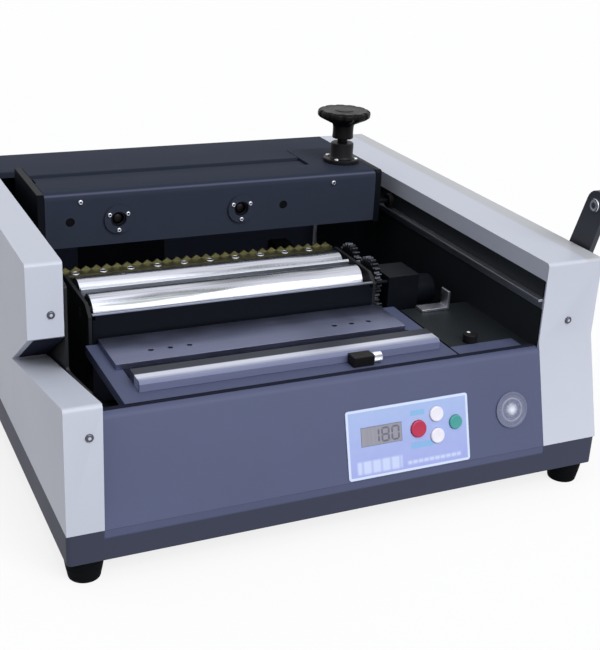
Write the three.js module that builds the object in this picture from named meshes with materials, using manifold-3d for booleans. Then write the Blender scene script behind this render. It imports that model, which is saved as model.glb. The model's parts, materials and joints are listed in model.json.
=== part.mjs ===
// Thermal binding machine, a desktop model with a sliding book clamp, a glue tank with two
// rollers and a nipping table raised by a side lever.
// Millimetres, +Z up, +X to the right and +Y to the back. The origin is the middle of the
// bottom of the whole machine, so its feet stand on z = 0.
import * as THREE from 'three';
import { mergeVertices } from 'three/addons/utils/BufferGeometryUtils.js';
import Module from 'manifold-3d';

const wasm = await Module();
wasm.setup();

// Sizes of the whole machine
const machineWidth = 595;
const machineDepth = 602;
const coverSheet = 2;
const seatGap = 0.3;
const slideGap = 1;
const overrun = 4;
const holeGap = 0.3;
const bendRadius = 4;
const mergeReach = 0.0003;
const slimRadius = 4;
const slimSides = 12;
const middleSides = 16;
const stoutRadius = 12;
const stoutSides = 28;
const turnedSides = 24;
const drumSides = 32;
const screwSides = 8;
const bendSteps = 6;

// Feet and base pan
const footHeight = 25.4;
const footTopRadius = 19;
const footBottomRadius = 15.5;
const footInset = 21;
const footRecess = 2.6;
const footRecessRadius = 5;
const footRingRadius = 7.8;
const footWaistShare = 0.7;
const panHeight = 32;
const panFloor = 2;
const panCornerRadius = 5;

// Front panel and what it carries, with places measured up its slope from its lower edge
const panelTopHeight = 161.5;
const panelSlope = Math.atan(31 / 105);
const panelBend = 7;
const panelShelf = 13;
const overlayGap = 94.5;
const overlayWidth = 143;
const overlayFoot = 1.5;
const overlayRise = 72;
const overlayThickness = 1;
const overlayCorner = 3;
const windowInset = 16.2;
const windowWidth = 47;
const windowFootInset = 33;
const windowRise = 20;
const windowThickness = 3;
const redButtonInset = 82.5;
const redButtonFoot = 42.5;
const redButtonRadius = 9;
const whiteButtonInset = 104.5;
const whiteButtonFoot = 43.5;
const whiteButtonSpacing = 23;
const whiteButtonRadius = 8;
const greenButtonInset = 127;
const greenButtonFoot = 43;
const greenButtonRadius = 7.5;
const buttonStand = 2.4;
const buttonTravel = 1.5;
const buttonRim = 2;
const buttonRimThickness = 1.2;
const buttonStemRadius = 2.7;
const boardGap = 9;
const boardThickness = 1.6;
const boardMargin = 6;
const switchSide = 7;
const postRadius = 2.5;
const emblemGap = 39.5;
const emblemRise = 46.5;
const emblemRadius = 19.5;
const emblemThickness = 1.5;
const emblemRim = 2.7;
const emblemDish = 0.5;

// Side covers
const leftCoverWidth = 36;
const rightCoverWidth = 69;
const coverLip = 20;
const frontLeftTop = 188.6;
const frontLeftFall = 0.209;
const rearLeftTop = 275;
const rearLeftSetback = 136;
const rearLeftFrontRise = 9;
const frontLeftDepth = 218.7;
const rightCoverTop = 257;
const rightCoverSetback = 32.7;
const coverScrewRadius = 3.6;
const coverScrewStand = 1.6;
const coverScrewCrownShare = 0.6;
const coverScrewOffset = 5.4;
const frontLeftScrewHeight = 157;
const rearLeftScrewHeight = 221.5;
const rightScrewHeight = 189.5;

// Rear cover
const deckDepth = 83;
const deckTop = 257;
const deckLip = 6;
const ventWidth = 4;
const ventHeight = 46;
const ventPitch = 12;
const ventCount = 10;
const ventFoot = 96;
const inletWidth = 28;
const inletHeight = 21;
const inletDepth = 24;
const inletGap = 58.5;
const inletFoot = 84;
const inletFlange = 5;
const pinWidth = 2;
const pinRise = 4;
const pinPitch = 7;
const pinRiseShares = [0.38, 0.62, 0.38];

// Side frames and rails
const frameSheet = 3;
const leftFrameGap = 2.5;
const rightFrameGap = 3;
const frameInset = 8;
const frameFlange = 16;
const frameFootInset = 20;
const frameNotch = 14;
const underCoverGap = 4;
const leftRailTop = 138;
const leftRailHeight = 11;
const leftRailWidth = 10.5;
const rightRailRise = 6.6;
const rightRailHeight = 12;
const rightRailWidth = 9;
const railInset = 65;

// Clamp carriage
const carriageReach = 167;
const carriageHeight = 64.8;
const carriageFoot = 210.4;
const carriageLeftGap = 27.6;
const carriageRightGap = 41.3;
const carriageSheet = 2.5;
const carriageBend = 9;
const headWidth = 71.2;
const housingDepth = 47;
const flapDepth = 24;
const jawDrop = 5;
const frontJawReach = 76;
const frontJawThickness = 7.6;
const jawSlot = 5.3;
const rearJawDepth = 37.7;
const rearJawFace = 8;
const rodInsets = [28.4, 55];
const spindleSpacing = 56;
const rodRise = 30.1;
const rodRadius = 5;
const spindleRadius = 6;
const flangeRadius = 17;
const flangeThickness = 3;
const flangeScrewCircle = 12.5;
const flangeScrewRadius = 2.6;
const flangeScrewAngles = [30, 150, 270];
const rodRecess = 1;
const nutHubRadius = 9;
const nutWidth = 9;
const endPlateThickness = 8;
const leftLegGap = 5;
const legWidth = 86;
const wheelRadius = 9;
const wheelWidth = 7;
const wheelSpacing = 70;
const leftWheelRadius = 11;
const axleRadius = 3;
const plateScrewInsets = [40.8, 59.3];
const plateScrewDrop = 11.7;

// Clamp knob and its gears
const knobInset = 24.2;
const knobReach = 51.5;
const knobBaseRadius = 23;
const knobBaseThickness = 5;
const knobBossRadius = 14.5;
const knobBossHeight = 24.5;
const knobShaftRadius = 6.3;
const knobNeckGap = 6;
const knobNeckRadius = 13.5;
const knobNeckLength = 18;
const knobTaperHeight = 8;
const knobHeadRadius = 33.5;
const knobRimHeight = 10;
const knobTaperShare = 0.9;
const knobCrownShare = 0.88;
const knobRimRise = 2.5;
const knobScrewAngles = [45, 135, 225, 315];
const knobFlutes = 12;
const fluteRadius = 4;
const crossShaftRadius = 4;
const crossShaftReach = 17;
const driverRadius = 13;
const driverWidth = 20;
const knobGearWidth = 8;
const shaftBearingWidth = 8;
const shaftBearingWall = 3.5;
const shaftBearingOffset = 18;
const crossShaftRise = 18.5;
const wormRadius = 6.5;
const wormLength = 22;

// Glue unit
const rollerRadius = 19;
const rollerHeight = 181;
const rollerSetback = 33;
const rollerSpacing = 50;
const rollerLeftGap = 42;
const rollerRightGap = 123.5;
const journalRadius = 6;
const journalTipRadius = 4.8;
const tankSetback = 198;
const tankFloor = 7;
const tankFrontRise = 7;
const tankBackRise = 2;
const tankClearance = 3;
const tankEndWall = 3;
const glueEndThickness = 4;
const glueEndRise = 17;
const glueEndMargin = 4;
const lipDepth = 9;
const lipThickness = 2;
const bladeThickness = 4;
const bladeRise = 17.5;
const heaterThickness = 6;
const heaterInset = 12;
const cutterGap = 24;
const cutterWidth = 18;
const cutterRise = 13;
const cutterSheet = 2.5;
const cutterDrop = 30;
const toothHeight = 4.5;
const toothPitch = 12;
const toothPeakShare = 0.5;
const cutterHolePitch = 32;
const cutterHoleRadius = 3.2;
const gearTeeth = 24;
const pinionTeeth = 10;
const toothAngle = 20;
const toothTipShare = 0.85;
const toothRootShare = 1.2;
const toothSlackShare = 0.06;
const toothMiddleShare = 0.5;
const gearWidth = 7;
const gearStand = 5;
const pinionAngle = THREE.MathUtils.degToRad(236);
const motorLength = 66;
const motorDepth = 44;
const motorPillarRadius = 2;
const motorPillarInset = [4, 6];
const motorDrop = 44;
const motorHeight = 56;
const motorLidLength = 40;

// Nipping table
const tableLeftGap = 30;
const tableRightGap = 2;
const tableFrontGap = 1.4;
const tableBackGap = 2.5;
const tableTop = 157.5;
const tableSheet = 3;
const tableSkirt = 11;
const tableLift = 36;
const nipPlateInsets = [13, 23];
const nipPlateDepth = 67;
const nipPlateBackInset = 1.5;
const nipPlateThickness = 6;
const nipHoleRadius = 3;
const nipHolePitch = 21;
const nipHoleInsets = [65, 55];
const nipHoleSetback = 24;
const nipBarInsets = [20, 12];
const nipBarDepth = 32;
const nipBarGap = 24;
const nipBarThickness = 11;
const nipBarChamfer = 3;
const stopWidth = 24;
const stopDepth = 15;
const stopInset = 99;
const thumbScrewRadius = 5.5;
const thumbScrewLength = 10;
const thumbKnurls = 20;
const thumbKnurlDepth = 0.6;
const thumbShankRadius = 2.5;
const thumbShankDepth = 12;
const thumbHoleDepth = 16;
const shelfWidth = 89.5;
const shelfBackGap = 15;
const bracketLength = 36;
const bracketInset = 20;
const bracketRise = 22;
const bracketDepth = 16;
const bracketThickness = 3;
const dialInset = 29;
const dialSetback = 34;
const dialRadius = 8;
const dialHeight = 9;
const dialMark = 2;

// Press lever, its shaft and cams
const leverSetback = 80.4;
const leverDrop = 39.5;
const leverLean = THREE.MathUtils.degToRad(18.5);
const leverSwing = THREE.MathUtils.degToRad(65);
const leverLength = 199;
const leverWidth = 32;
const leverThickness = 7;
const leverGap = 4;
const pressShaftRadius = 8;
const leverHubRadius = 20;
const gripRadius = 12;
const gripLength = 95;
const gripProfileShares = [[0.8, 0], [1, 0.06], [0.9, 0.5], [1, 0.85], [0.6, 1]];
const gripBoltRadius = 7;
const gripBoltStand = 3;
const gripShankRadius = 3;
const gripShankLength = 24;
const camBase = 20;
const camWidth = 8;
const camSteps = 16;
const camInset = 60;
const camPadWidth = 16;
const camPadDepth = 44;

// Worked out once, because many pieces share them
const halfWidth = machineWidth / 2;
const halfDepth = machineDepth / 2;
const panFoot = footHeight + seatGap;
const panTop = panFoot + panHeight;
const coverFoot = panTop + seatGap;
const floorTop = panFoot + panFloor;
const leftInner = leftCoverWidth - halfWidth;
const rightInner = halfWidth - rightCoverWidth;
const coverSeam = frontLeftDepth - halfDepth;
const rearLeftFront = rearLeftSetback - halfDepth;
const rightCoverFront = rightCoverSetback - halfDepth;
const deckFront = halfDepth - deckDepth;
const inletX = rightInner - inletGap;
const overlayLeft = rightInner - overlayGap - overlayWidth;
const leftFrameX = leftInner + leftFrameGap;
const rightFrameX = rightInner + rightFrameGap;
const leftRailEdge = leftFrameX + frameSheet;
const railFront = rightCoverFront + coverSheet + seatGap;
const railBack = halfDepth - railInset;
const rightRailTop = carriageFoot + rightRailRise;

// Places on the carriage
const carriageFront = deckFront - carriageReach;
const carriageTop = carriageFoot + carriageHeight;
const carriageLeft = leftRailEdge + carriageLeftGap;
const carriageRight = rightFrameX - carriageRightGap;
const jawRight = carriageRight - headWidth;
const headLeft = jawRight + seatGap;
const jawLeft = carriageLeft + carriageSheet + slideGap;
const frontJawBack = carriageFront + frontJawReach;
const secondJaw = frontJawBack + jawSlot;
const rearJawBack = secondJaw + rearJawDepth;
const rodPlaces = [carriageLeft + rodInsets[0], jawRight - rodInsets[1]];
const spindlePlaces = [rodPlaces[0] + spindleSpacing, rodPlaces[1] - spindleSpacing];
const clampMiddle = (rodPlaces[0] + rodPlaces[1]) / 2;
const rodHeight = carriageFoot + rodRise;
const crossShaftY = carriageFront + crossShaftReach;
const crossShaftHeight = rodHeight + crossShaftRise;
const knobX = carriageRight - knobInset;
const knobY = carriageFront + knobReach;
const knobBossTop = carriageTop + seatGap + knobBossHeight;
const knobNeckFoot = knobBossTop + knobNeckGap;
const knobHeadFoot = knobNeckFoot + knobNeckLength;
const knobRimFoot = knobHeadFoot + knobTaperHeight;
const knobTop = knobRimFoot + knobRimHeight;

// Places on the glue unit, the table and the shelf
const tankFront = tankSetback - halfDepth;
const mainRollerY = tankFront + rollerSetback;
const rearRollerY = mainRollerY + rollerSpacing;
const rollerLeft = leftRailEdge + rollerLeftGap;
const rollerRight = rightFrameX - rollerRightGap;
const tankFoot = rollerHeight - rollerRadius - tankClearance - tankFloor;
const tankFrontTop = rollerHeight + tankFrontRise;
const tankBackTop = rollerHeight + tankBackRise;
const cutterFront = rearRollerY + cutterGap;
const cutterTop = rollerHeight + cutterRise;
const glueEndBack = cutterFront + cutterWidth + glueEndMargin;
const shelfLeft = rightFrameX - shelfWidth;
const shelfBack = tankFront - shelfBackGap;
const panelTopY = (panelTopHeight - coverFoot) * Math.tan(panelSlope) - halfDepth;
const tableLeft = leftRailEdge + tableLeftGap;
const tableRight = shelfLeft - tableRightGap;
const tableFront = panelTopY + panelShelf + tableFrontGap;
const tableBack = tankFront - tableBackGap;
const nipPlateX = [tableLeft + nipPlateInsets[0], tableRight - nipPlateInsets[1]];
const nipPlateBack = tableBack - nipPlateBackInset;
const nipPlateFront = nipPlateBack - nipPlateDepth;
const nipBarX = [tableLeft + nipBarInsets[0], tableRight - nipBarInsets[1]];
const nipBarBack = nipPlateFront - nipBarGap;
const nipBarFront = nipBarBack - nipBarDepth;
const stopX = nipBarX[1] - stopInset;
const dialX = shelfLeft + dialInset;
const dialY = tableFront + dialSetback;
const leverY = tableFront + leverSetback;
const leverHeight = tableTop - leverDrop;
const leverOuter = halfWidth + leverGap + leverThickness;
const gripEnd = leverOuter + seatGap + gripLength;
const frontEnd = halfDepth + coverScrewStand;
const backEnd = halfDepth + seatGap + coverSheet;

// Finishes
function finish(color, roughness, metalness) {
  return new THREE.MeshStandardMaterial({ color, roughness, metalness });
}

const finishes = {
  lightPaint: () => finish(0xc9cdd8, 0.55, 0.1),
  slatePaint: () => finish(0x5f6480, 0.55, 0.2),
  darkPaint: () => finish(0x3c4250, 0.5, 0.2),
  pan: () => finish(0x46495a, 0.6, 0.2),
  blackSteel: () => finish(0x1c1d20, 0.55, 0.4),
  rubber: () => finish(0x111112, 0.9, 0),
  blackPlastic: () => finish(0x18181a, 0.5, 0),
  brightSteel: () => finish(0xd9dbe0, 0.25, 0.95),
  blueSteel: () => finish(0x8f96ad, 0.4, 0.6),
  brass: () => finish(0x8b8356, 0.4, 0.8),
  aluminium: () => finish(0xb9bdc4, 0.4, 0.8),
  overlay: () => finish(0xaec2ea, 0.4, 0),
  display: () => finish(0x2a2c33, 0.2, 0),
  red: () => finish(0xc23a44, 0.4, 0),
  white: () => finish(0xdfe3ee, 0.4, 0),
  green: () => finish(0x3f8f7c, 0.4, 0),
  emblem: () => finish(0x7b8094, 0.35, 0.5),
  board: () => finish(0x2f6b45, 0.6, 0),
};

// Solids for joining and cutting
function solid(geometry) {
  geometry.deleteAttribute('normal');
  geometry.deleteAttribute('uv');
  const merged = mergeVertices(geometry, mergeReach);
  const vertProperties = new Float32Array(merged.attributes.position.array);
  const triVerts = new Uint32Array(merged.index.array);
  return new wasm.Manifold(new wasm.Mesh({ numProp: 3, vertProperties, triVerts }));
}

function geometryOf(body) {
  const mesh = body.getMesh();
  const geometry = new THREE.BufferGeometry();
  const places = [];
  for (let i = 0; i < mesh.vertProperties.length; i += mesh.numProp) {
    places.push(mesh.vertProperties[i], mesh.vertProperties[i + 1], mesh.vertProperties[i + 2]);
  }
  geometry.setAttribute('position', new THREE.Float32BufferAttribute(places, 3));
  geometry.setIndex(Array.from(mesh.triVerts));
  geometry.computeVertexNormals();
  return geometry;
}

function join(first, ...others) {
  return others.reduce((body, other) => body.add(other), first);
}

function cut(first, ...others) {
  return others.reduce((body, other) => body.subtract(other), first);
}

// A box between two values on each axis
function box([x0, x1], [y0, y1], [z0, z1]) {
  const geometry = new THREE.BoxGeometry(x1 - x0, y1 - y0, z1 - z0);
  geometry.translate((x0 + x1) / 2, (y0 + y1) / 2, (z0 + z1) / 2);
  return solid(geometry);
}

// Turns that carry an extrusion or a cylinder from +Z onto another axis
const onto = {
  x: new THREE.Matrix4().makeBasis(
    new THREE.Vector3(0, 1, 0), new THREE.Vector3(0, 0, 1), new THREE.Vector3(1, 0, 0)),
  y: new THREE.Matrix4().makeBasis(
    new THREE.Vector3(0, 0, 1), new THREE.Vector3(1, 0, 0), new THREE.Vector3(0, 1, 0)),
  z: new THREE.Matrix4(),
};

// An outline pushed along an axis. Its points are [y, z] along x, [z, x] along y, [x, y] along z
function prism(axis, outline, from, to) {
  const shape = new THREE.Shape(outline.map(([a, b]) => new THREE.Vector2(a, b)));
  const geometry = new THREE.ExtrudeGeometry(shape, { depth: to - from, bevelEnabled: false });
  geometry.translate(0, 0, from);
  geometry.applyMatrix4(onto[axis]);
  return solid(geometry);
}

// A round bar about an axis through (a, b), in the same order as a prism's points
function bar(axis, centre, radius, from, to, sides = sidesFor(radius)) {
  return prism(axis, circle(centre, radius, sides), from, to);
}

function sidesFor(radius) {
  if (radius < slimRadius) {
    return slimSides;
  }
  return radius < stoutRadius ? middleSides : stoutSides;
}

// A turned piece on +Z from points [radius, height]
function turned(profile, [x, y], sides = turnedSides) {
  const geometry = new THREE.LatheGeometry(profile.map(([r, h]) => new THREE.Vector2(r, h)), sides);
  geometry.applyMatrix4(new THREE.Matrix4().makeRotationX(Math.PI / 2));
  geometry.translate(x, y, 0);
  return solid(geometry);
}

// Points of an arc, both ends included
function arc([a, b], radius, start, end, steps) {
  const points = [];
  for (let i = 0; i <= steps; i += 1) {
    const angle = start + (end - start) * i / steps;
    points.push([a + radius * Math.cos(angle), b + radius * Math.sin(angle)]);
  }
  return points;
}

function circle(centre, radius, sides) {
  return arc(centre, radius, 0, 2 * Math.PI, sides).slice(0, sides);
}

// An anticlockwise outline moved inward by each edge's own wall
function inset(outline, walls) {
  const lines = outline.map((point, i) => {
    const next = outline[(i + 1) % outline.length];
    const length = Math.hypot(next[0] - point[0], next[1] - point[1]);
    const along = [(next[0] - point[0]) / length, (next[1] - point[1]) / length];
    const wall = Array.isArray(walls) ? walls[i] : walls;
    return { start: [point[0] - along[1] * wall, point[1] + along[0] * wall], along };
  });
  return lines.map((line, i) => {
    const last = lines[(i + lines.length - 1) % lines.length];
    const cross = last.along[0] * line.along[1] - last.along[1] * line.along[0];
    const gap = [line.start[0] - last.start[0], line.start[1] - last.start[1]];
    const reach = (gap[0] * line.along[1] - gap[1] * line.along[0]) / cross;
    return [last.start[0] + last.along[0] * reach, last.start[1] + last.along[1] * reach];
  });
}

// The same outline with a fillet at each corner that has a radius
function rounded(outline, radii, steps = bendSteps) {
  return outline.flatMap((corner, i) => {
    const radius = Array.isArray(radii) ? radii[i] : radii;
    if (radius <= 0) {
      return [corner];
    }
    const before = new THREE.Vector2(...outline[(i + outline.length - 1) % outline.length]);
    const after = new THREE.Vector2(...outline[(i + 1) % outline.length]);
    const point = new THREE.Vector2(...corner);
    const back = before.sub(point).normalize();
    const ahead = after.sub(point).normalize();
    const half = Math.acos(THREE.MathUtils.clamp(back.dot(ahead), -1, 1)) / 2;
    const middle = back.clone().add(ahead).normalize().multiplyScalar(radius / Math.sin(half)).add(point);
    const start = back.multiplyScalar(radius / Math.tan(half)).add(point).sub(middle).angle();
    const end = ahead.multiplyScalar(radius / Math.tan(half)).add(point).sub(middle).angle();
    const turn = Math.atan2(Math.sin(end - start), Math.cos(end - start));
    return arc([middle.x, middle.y], radius, start, start + turn, steps);
  });
}

function rectangle([a0, a1], [b0, b1]) {
  return [[a0, b0], [a1, b0], [a1, b1], [a0, b1]];
}

const machine = new THREE.Group();
machine.position.set((halfWidth - gripEnd) / 2, (frontEnd - backEnd) / 2, 0);

function place(name, material, body, parent = machine) {
  const mesh = new THREE.Mesh(geometryOf(body), material());
  mesh.name = name;
  parent.add(mesh);
}

// Feet, tapered rubber with a recess below
function addFeet() {
  const profile = [
    [0, footRecess],
    [footRecessRadius, footRecess],
    [footRingRadius, 0],
    [footBottomRadius, 0],
    [footTopRadius, footHeight * footWaistShare],
    [footTopRadius, footHeight],
    [0, footHeight],
  ];
  const corners = { front_left: [-1, -1], front_right: [1, -1], rear_left: [-1, 1], rear_right: [1, 1] };
  Object.entries(corners).forEach(([corner, [sideX, sideY]]) => {
    const foot = new THREE.Group();
    foot.position.set(sideX * (halfWidth - footInset), sideY * (halfDepth - footInset), 0);
    machine.add(foot);
    place(`foot_${corner}`, finishes.rubber, turned(profile, [0, 0]), foot);
  });
}

// Base pan, an open tray with rounded upright corners
function addBasePan() {
  const outline = rectangle([-halfWidth, halfWidth], [-halfDepth, halfDepth]);
  const outside = prism('z', rounded(outline, panCornerRadius), panFoot, panTop);
  const inside = rounded(inset(outline, coverSheet), panCornerRadius - coverSheet);
  place('base_pan', finishes.pan, cut(outside, prism('z', inside, floorTop, panTop + overrun)));
}

// Front panel: a sloping face, a round bend at its top edge and a short shelf behind
const panelFrame = new THREE.Group();

// The sloping front plane: its y at a height and its height at a y
function panelFaceY(z) {
  return -halfDepth + (z - coverFoot) * Math.tan(panelSlope);
}

function panelFaceHeight(y) {
  return coverFoot + (y + halfDepth) / Math.tan(panelSlope);
}

const whiteX = overlayLeft + whiteButtonInset;
const whiteRise = overlayFoot + whiteButtonFoot;
const redPlace = [overlayLeft + redButtonInset, overlayFoot + redButtonFoot];
const greenPlace = [overlayLeft + greenButtonInset, overlayFoot + greenButtonFoot];
const buttons = {
  red_button: [...redPlace, redButtonRadius, finishes.red],
  white_button_upper: [whiteX, whiteRise + whiteButtonSpacing / 2, whiteButtonRadius, finishes.white],
  white_button_lower: [whiteX, whiteRise - whiteButtonSpacing / 2, whiteButtonRadius, finishes.white],
  green_button: [...greenPlace, greenButtonRadius, finishes.green],
};

function addFrontPanel() {
  panelFrame.position.set(0, -halfDepth, coverFoot);
  panelFrame.rotation.x = Math.PI / 2 - panelSlope;
  machine.add(panelFrame);
  const shelfEnd = panelTopY + panelShelf;
  const outer = [
    [-halfDepth, coverFoot],
    [shelfEnd, coverFoot],
    [shelfEnd, panelTopHeight],
    [panelTopY, panelTopHeight],
  ];
  const walls = [-overrun, -overrun, coverSheet, coverSheet];
  const ends = [leftInner + seatGap, rightInner - seatGap];
  const skin = cut(
    prism('x', rounded(outer, [0, 0, 0, panelBend]), ...ends),
    prism('x', rounded(inset(outer, walls), [0, 0, 0, panelBend - coverSheet]),
      ends[0] - overrun, ends[1] + overrun));
  place('front_panel', finishes.slatePaint, panelHoles(skin));
}

// The panel's openings are cut in its own sloping frame
function panelHoles(skin) {
  const toPanel = new THREE.Matrix4().makeRotationX(Math.PI / 2 - panelSlope);
  toPanel.setPosition(0, -halfDepth, coverFoot);
  const tools = Object.values(buttons).map(([x, rise, radius]) => (
    slanted(toPanel, circle([x, rise], radius + holeGap, turnedSides))));
  const windowHole = rectangle(windowX, windowU);
  tools.push(slanted(toPanel, windowHole));
  return cut(skin, ...tools);
}

function slanted(matrix, outline) {
  const shape = new THREE.Shape(outline.map(([a, b]) => new THREE.Vector2(a, b)));
  const geometry = new THREE.ExtrudeGeometry(shape, { depth: overrun * 2, bevelEnabled: false });
  geometry.translate(0, 0, -overrun);
  geometry.applyMatrix4(matrix);
  return solid(geometry);
}

// Overlay with its display and push buttons, in the panel's frame
const windowX = [overlayLeft + windowInset, overlayLeft + windowInset + windowWidth];
const windowU = [overlayFoot + windowFootInset, overlayFoot + windowFootInset + windowRise];
const overlayX = [overlayLeft, overlayLeft + overlayWidth];
const overlayU = [overlayFoot, overlayFoot + overlayRise];

function addControls() {
  const plate = rounded(rectangle(overlayX, overlayU), overlayCorner);
  const face = [seatGap, seatGap + overlayThickness];
  const through = [face[0] - overrun, face[1] + overrun];
  const holes = Object.values(buttons).map(([x, rise, radius]) => (
    bar('z', [x, rise], radius + holeGap, ...through)));
  const glassX = [windowX[0] + seatGap, windowX[1] - seatGap];
  const glassU = [windowU[0] + seatGap, windowU[1] - seatGap];
  const opening = box(windowX, windowU, through);
  place('control_overlay', finishes.overlay, cut(prism('z', plate, ...face), opening, ...holes), panelFrame);
  const glassBack = face[1] - windowThickness;
  place('display_window', finishes.display, box(glassX, glassU, [glassBack, face[1]]), panelFrame);
  addButtons(face[1]);
  addControlBoard(glassBack);
  const emblemFace = [seatGap, seatGap + emblemThickness];
  const emblemPlace = [rightInner - emblemGap, emblemRise];
  const disc = bar('z', emblemPlace, emblemRadius, ...emblemFace);
  const dish = bar('z', emblemPlace, emblemRadius - emblemRim, emblemFace[1] - emblemDish,
    emblemFace[1] + overrun);
  place('emblem_disc', finishes.emblem, cut(disc, dish), panelFrame);
}

// Each button has a rim behind the panel, so it can't fall out, and a stem to its switch
function addButtons(overlayFace) {
  const rimTop = -coverSheet - seatGap;
  const rimFoot = rimTop - buttonRimThickness;
  const stemEnd = -coverSheet - boardGap + switchSide / 2 + buttonTravel + seatGap;
  Object.entries(buttons).forEach(([name, [x, rise, radius, material]]) => {
    const cap = bar('z', [x, rise], radius, rimFoot, overlayFace + buttonStand);
    const rim = bar('z', [x, rise], radius + buttonRim, rimFoot, rimTop);
    const stem = bar('z', [x, rise], buttonStemRadius, stemEnd, rimTop);
    place(name, material, join(cap, rim, stem), panelFrame);
  });
}

// Circuit board behind the buttons: its posts reach the panel, its switches face the stems
function addControlBoard(glassBack) {
  const boardTop = -coverSheet - boardGap;
  const rooted = boardTop - boardThickness / 2;
  const spanX = [overlayX[0] + boardMargin, overlayX[1] - boardMargin];
  const spanU = [overlayU[0] + boardMargin, overlayU[1] - boardMargin];
  const pieces = [box(spanX, spanU, [boardTop - boardThickness, boardTop])];
  spanX.forEach((x, i) => spanU.forEach((u, j) => {
    const post = [x + (i ? -boardMargin : boardMargin), u + (j ? -boardMargin : boardMargin)];
    pieces.push(bar('z', post, postRadius, rooted, -coverSheet - seatGap));
  }));
  Object.values(buttons).forEach(([x, rise]) => {
    const half = switchSide / 2;
    pieces.push(box([x - half, x + half], [rise - half, rise + half], [rooted, boardTop + half]));
  });
  const moduleX = [windowX[0] + boardMargin / 2, windowX[1] - boardMargin / 2];
  const moduleU = [windowU[0] + boardMargin / 2, windowU[1] - boardMargin / 2];
  pieces.push(box(moduleX, moduleU, [rooted, glassBack - seatGap]));
  place('control_board', finishes.board, join(...pieces), panelFrame);
}

// A folded side cover: an outline in [y, z], open below and on its inner side under a lip
function foldedCover(outline, walls, radii, outerX, innerX) {
  const side = Math.sign(outerX);
  const spans = [outerX, innerX].sort((a, b) => a - b);
  const outside = prism('x', rounded(outline, radii), ...spans);
  const inner = rounded(inset(outline, walls), radii.map((radius) => Math.max(radius - coverSheet, 0)));
  const wallX = outerX - side * coverSheet;
  const lipX = innerX + side * coverSheet;
  const hollow = prism('x', inner, ...[wallX, lipX].sort((a, b) => a - b));
  const throughSpan = [wallX, innerX - side * overrun].sort((a, b) => a - b);
  const through = prism('x', inner, ...throughSpan);
  const lowered = prism('x', inner.map(([y, z]) => [y, z - coverLip + coverSheet]), ...throughSpan);
  return cut(outside, hollow, through.intersect(lowered));
}

// A cover's fixing screw, a low domed head on its front face
function coverScrew(x, y, z) {
  const head = turned([
    [0, -coverSheet / 2],
    [coverScrewRadius, -coverSheet / 2],
    [coverScrewRadius, coverScrewStand * coverScrewCrownShare],
    [coverScrewRadius * coverScrewCrownShare, coverScrewStand],
    [0, coverScrewStand],
  ], [0, 0], middleSides);
  return head.rotate([90, 0, 0]).translate([x, y, z]);
}

function addSideCovers() {
  const seamTop = frontLeftTop - frontLeftFall * (halfDepth + coverSeam);
  const frontOutline = [
    [-halfDepth, coverFoot],
    [coverSeam - seatGap, coverFoot],
    [coverSeam - seatGap, seamTop],
    [-halfDepth, frontLeftTop],
  ];
  const rearLeftFrontFoot = frontLeftTop + rearLeftFrontRise;
  const leftScrewX = (leftInner - halfWidth) / 2 + coverScrewOffset;
  place('front_left_cover', finishes.lightPaint, join(
    foldedCover(frontOutline, [-overrun, coverSheet, coverSheet, coverSheet],
      [0, 0, bendRadius, bendRadius], -halfWidth, leftInner),
    coverScrew(leftScrewX, -halfDepth, frontLeftScrewHeight)));
  const rearOutline = [
    [coverSeam, coverFoot],
    [halfDepth, coverFoot],
    [halfDepth, rearLeftTop],
    [rearLeftFront, rearLeftTop],
    [rearLeftFront, rearLeftFrontFoot],
    [coverSeam, seamTop + seatGap],
  ];
  place('rear_left_cover', finishes.lightPaint, join(
    foldedCover(rearOutline, [-overrun, coverSheet, coverSheet, coverSheet, coverSheet, coverSheet],
      [0, 0, bendRadius, bendRadius, 0, 0], -halfWidth, leftInner),
    coverScrew(leftScrewX, rearLeftFront, rearLeftScrewHeight)));
  const rightOutline = [
    [-halfDepth, coverFoot],
    [halfDepth, coverFoot],
    [halfDepth, rightCoverTop],
    [rightCoverFront, rightCoverTop],
    [rightCoverFront, panelFaceHeight(rightCoverFront)],
  ];
  const shaftHole = bar('x', [leverY, leverHeight], pressShaftRadius + slideGap,
    halfWidth - overrun, halfWidth + overrun);
  place('right_cover', finishes.lightPaint, join(
    cut(foldedCover(rightOutline, [-overrun, coverSheet, coverSheet, coverSheet, coverSheet],
      [0, 0, bendRadius, bendRadius, 0], halfWidth, rightInner), shaftHole),
    coverScrew((halfWidth + rightInner) / 2, rightCoverFront, rightScrewHeight)));
}

// Rear cover: back wall and top deck in one folded sheet, with air slots and the inlet's hole
function addRearCover() {
  const outline = [
    [deckFront, coverFoot],
    [halfDepth, coverFoot],
    [halfDepth, deckTop],
    [deckFront, deckTop],
  ];
  const ends = [leftInner + seatGap, rightInner - seatGap];
  const inner = inset(outline, [-overrun, coverSheet, coverSheet, coverSheet]);
  const belowLip = inset(outline, [-overrun, coverSheet, coverSheet + deckLip, -overrun]);
  const spans = [ends[0] - overrun, ends[1] + overrun];
  let sheet = cut(
    prism('x', rounded(outline, [0, 0, bendRadius, 0]), ...ends),
    prism('x', inner, ...spans),
    prism('x', belowLip, ...spans));
  const wall = [halfDepth - coverSheet - overrun, halfDepth + overrun];
  for (let i = 0; i < ventCount; i += 1) {
    const x = clampMiddle + (i - (ventCount - 1) / 2) * ventPitch;
    sheet = cut(sheet, box([x - ventWidth / 2, x + ventWidth / 2], wall, [ventFoot, ventFoot + ventHeight]));
  }
  const hole = [inletX - inletWidth / 2 - seatGap, inletX + inletWidth / 2 + seatGap];
  sheet = cut(sheet, box(hole, wall, [inletFoot - seatGap, inletFoot + inletHeight + seatGap]));
  place('rear_cover', finishes.darkPaint, sheet);
  addPowerInlet();
}

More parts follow.
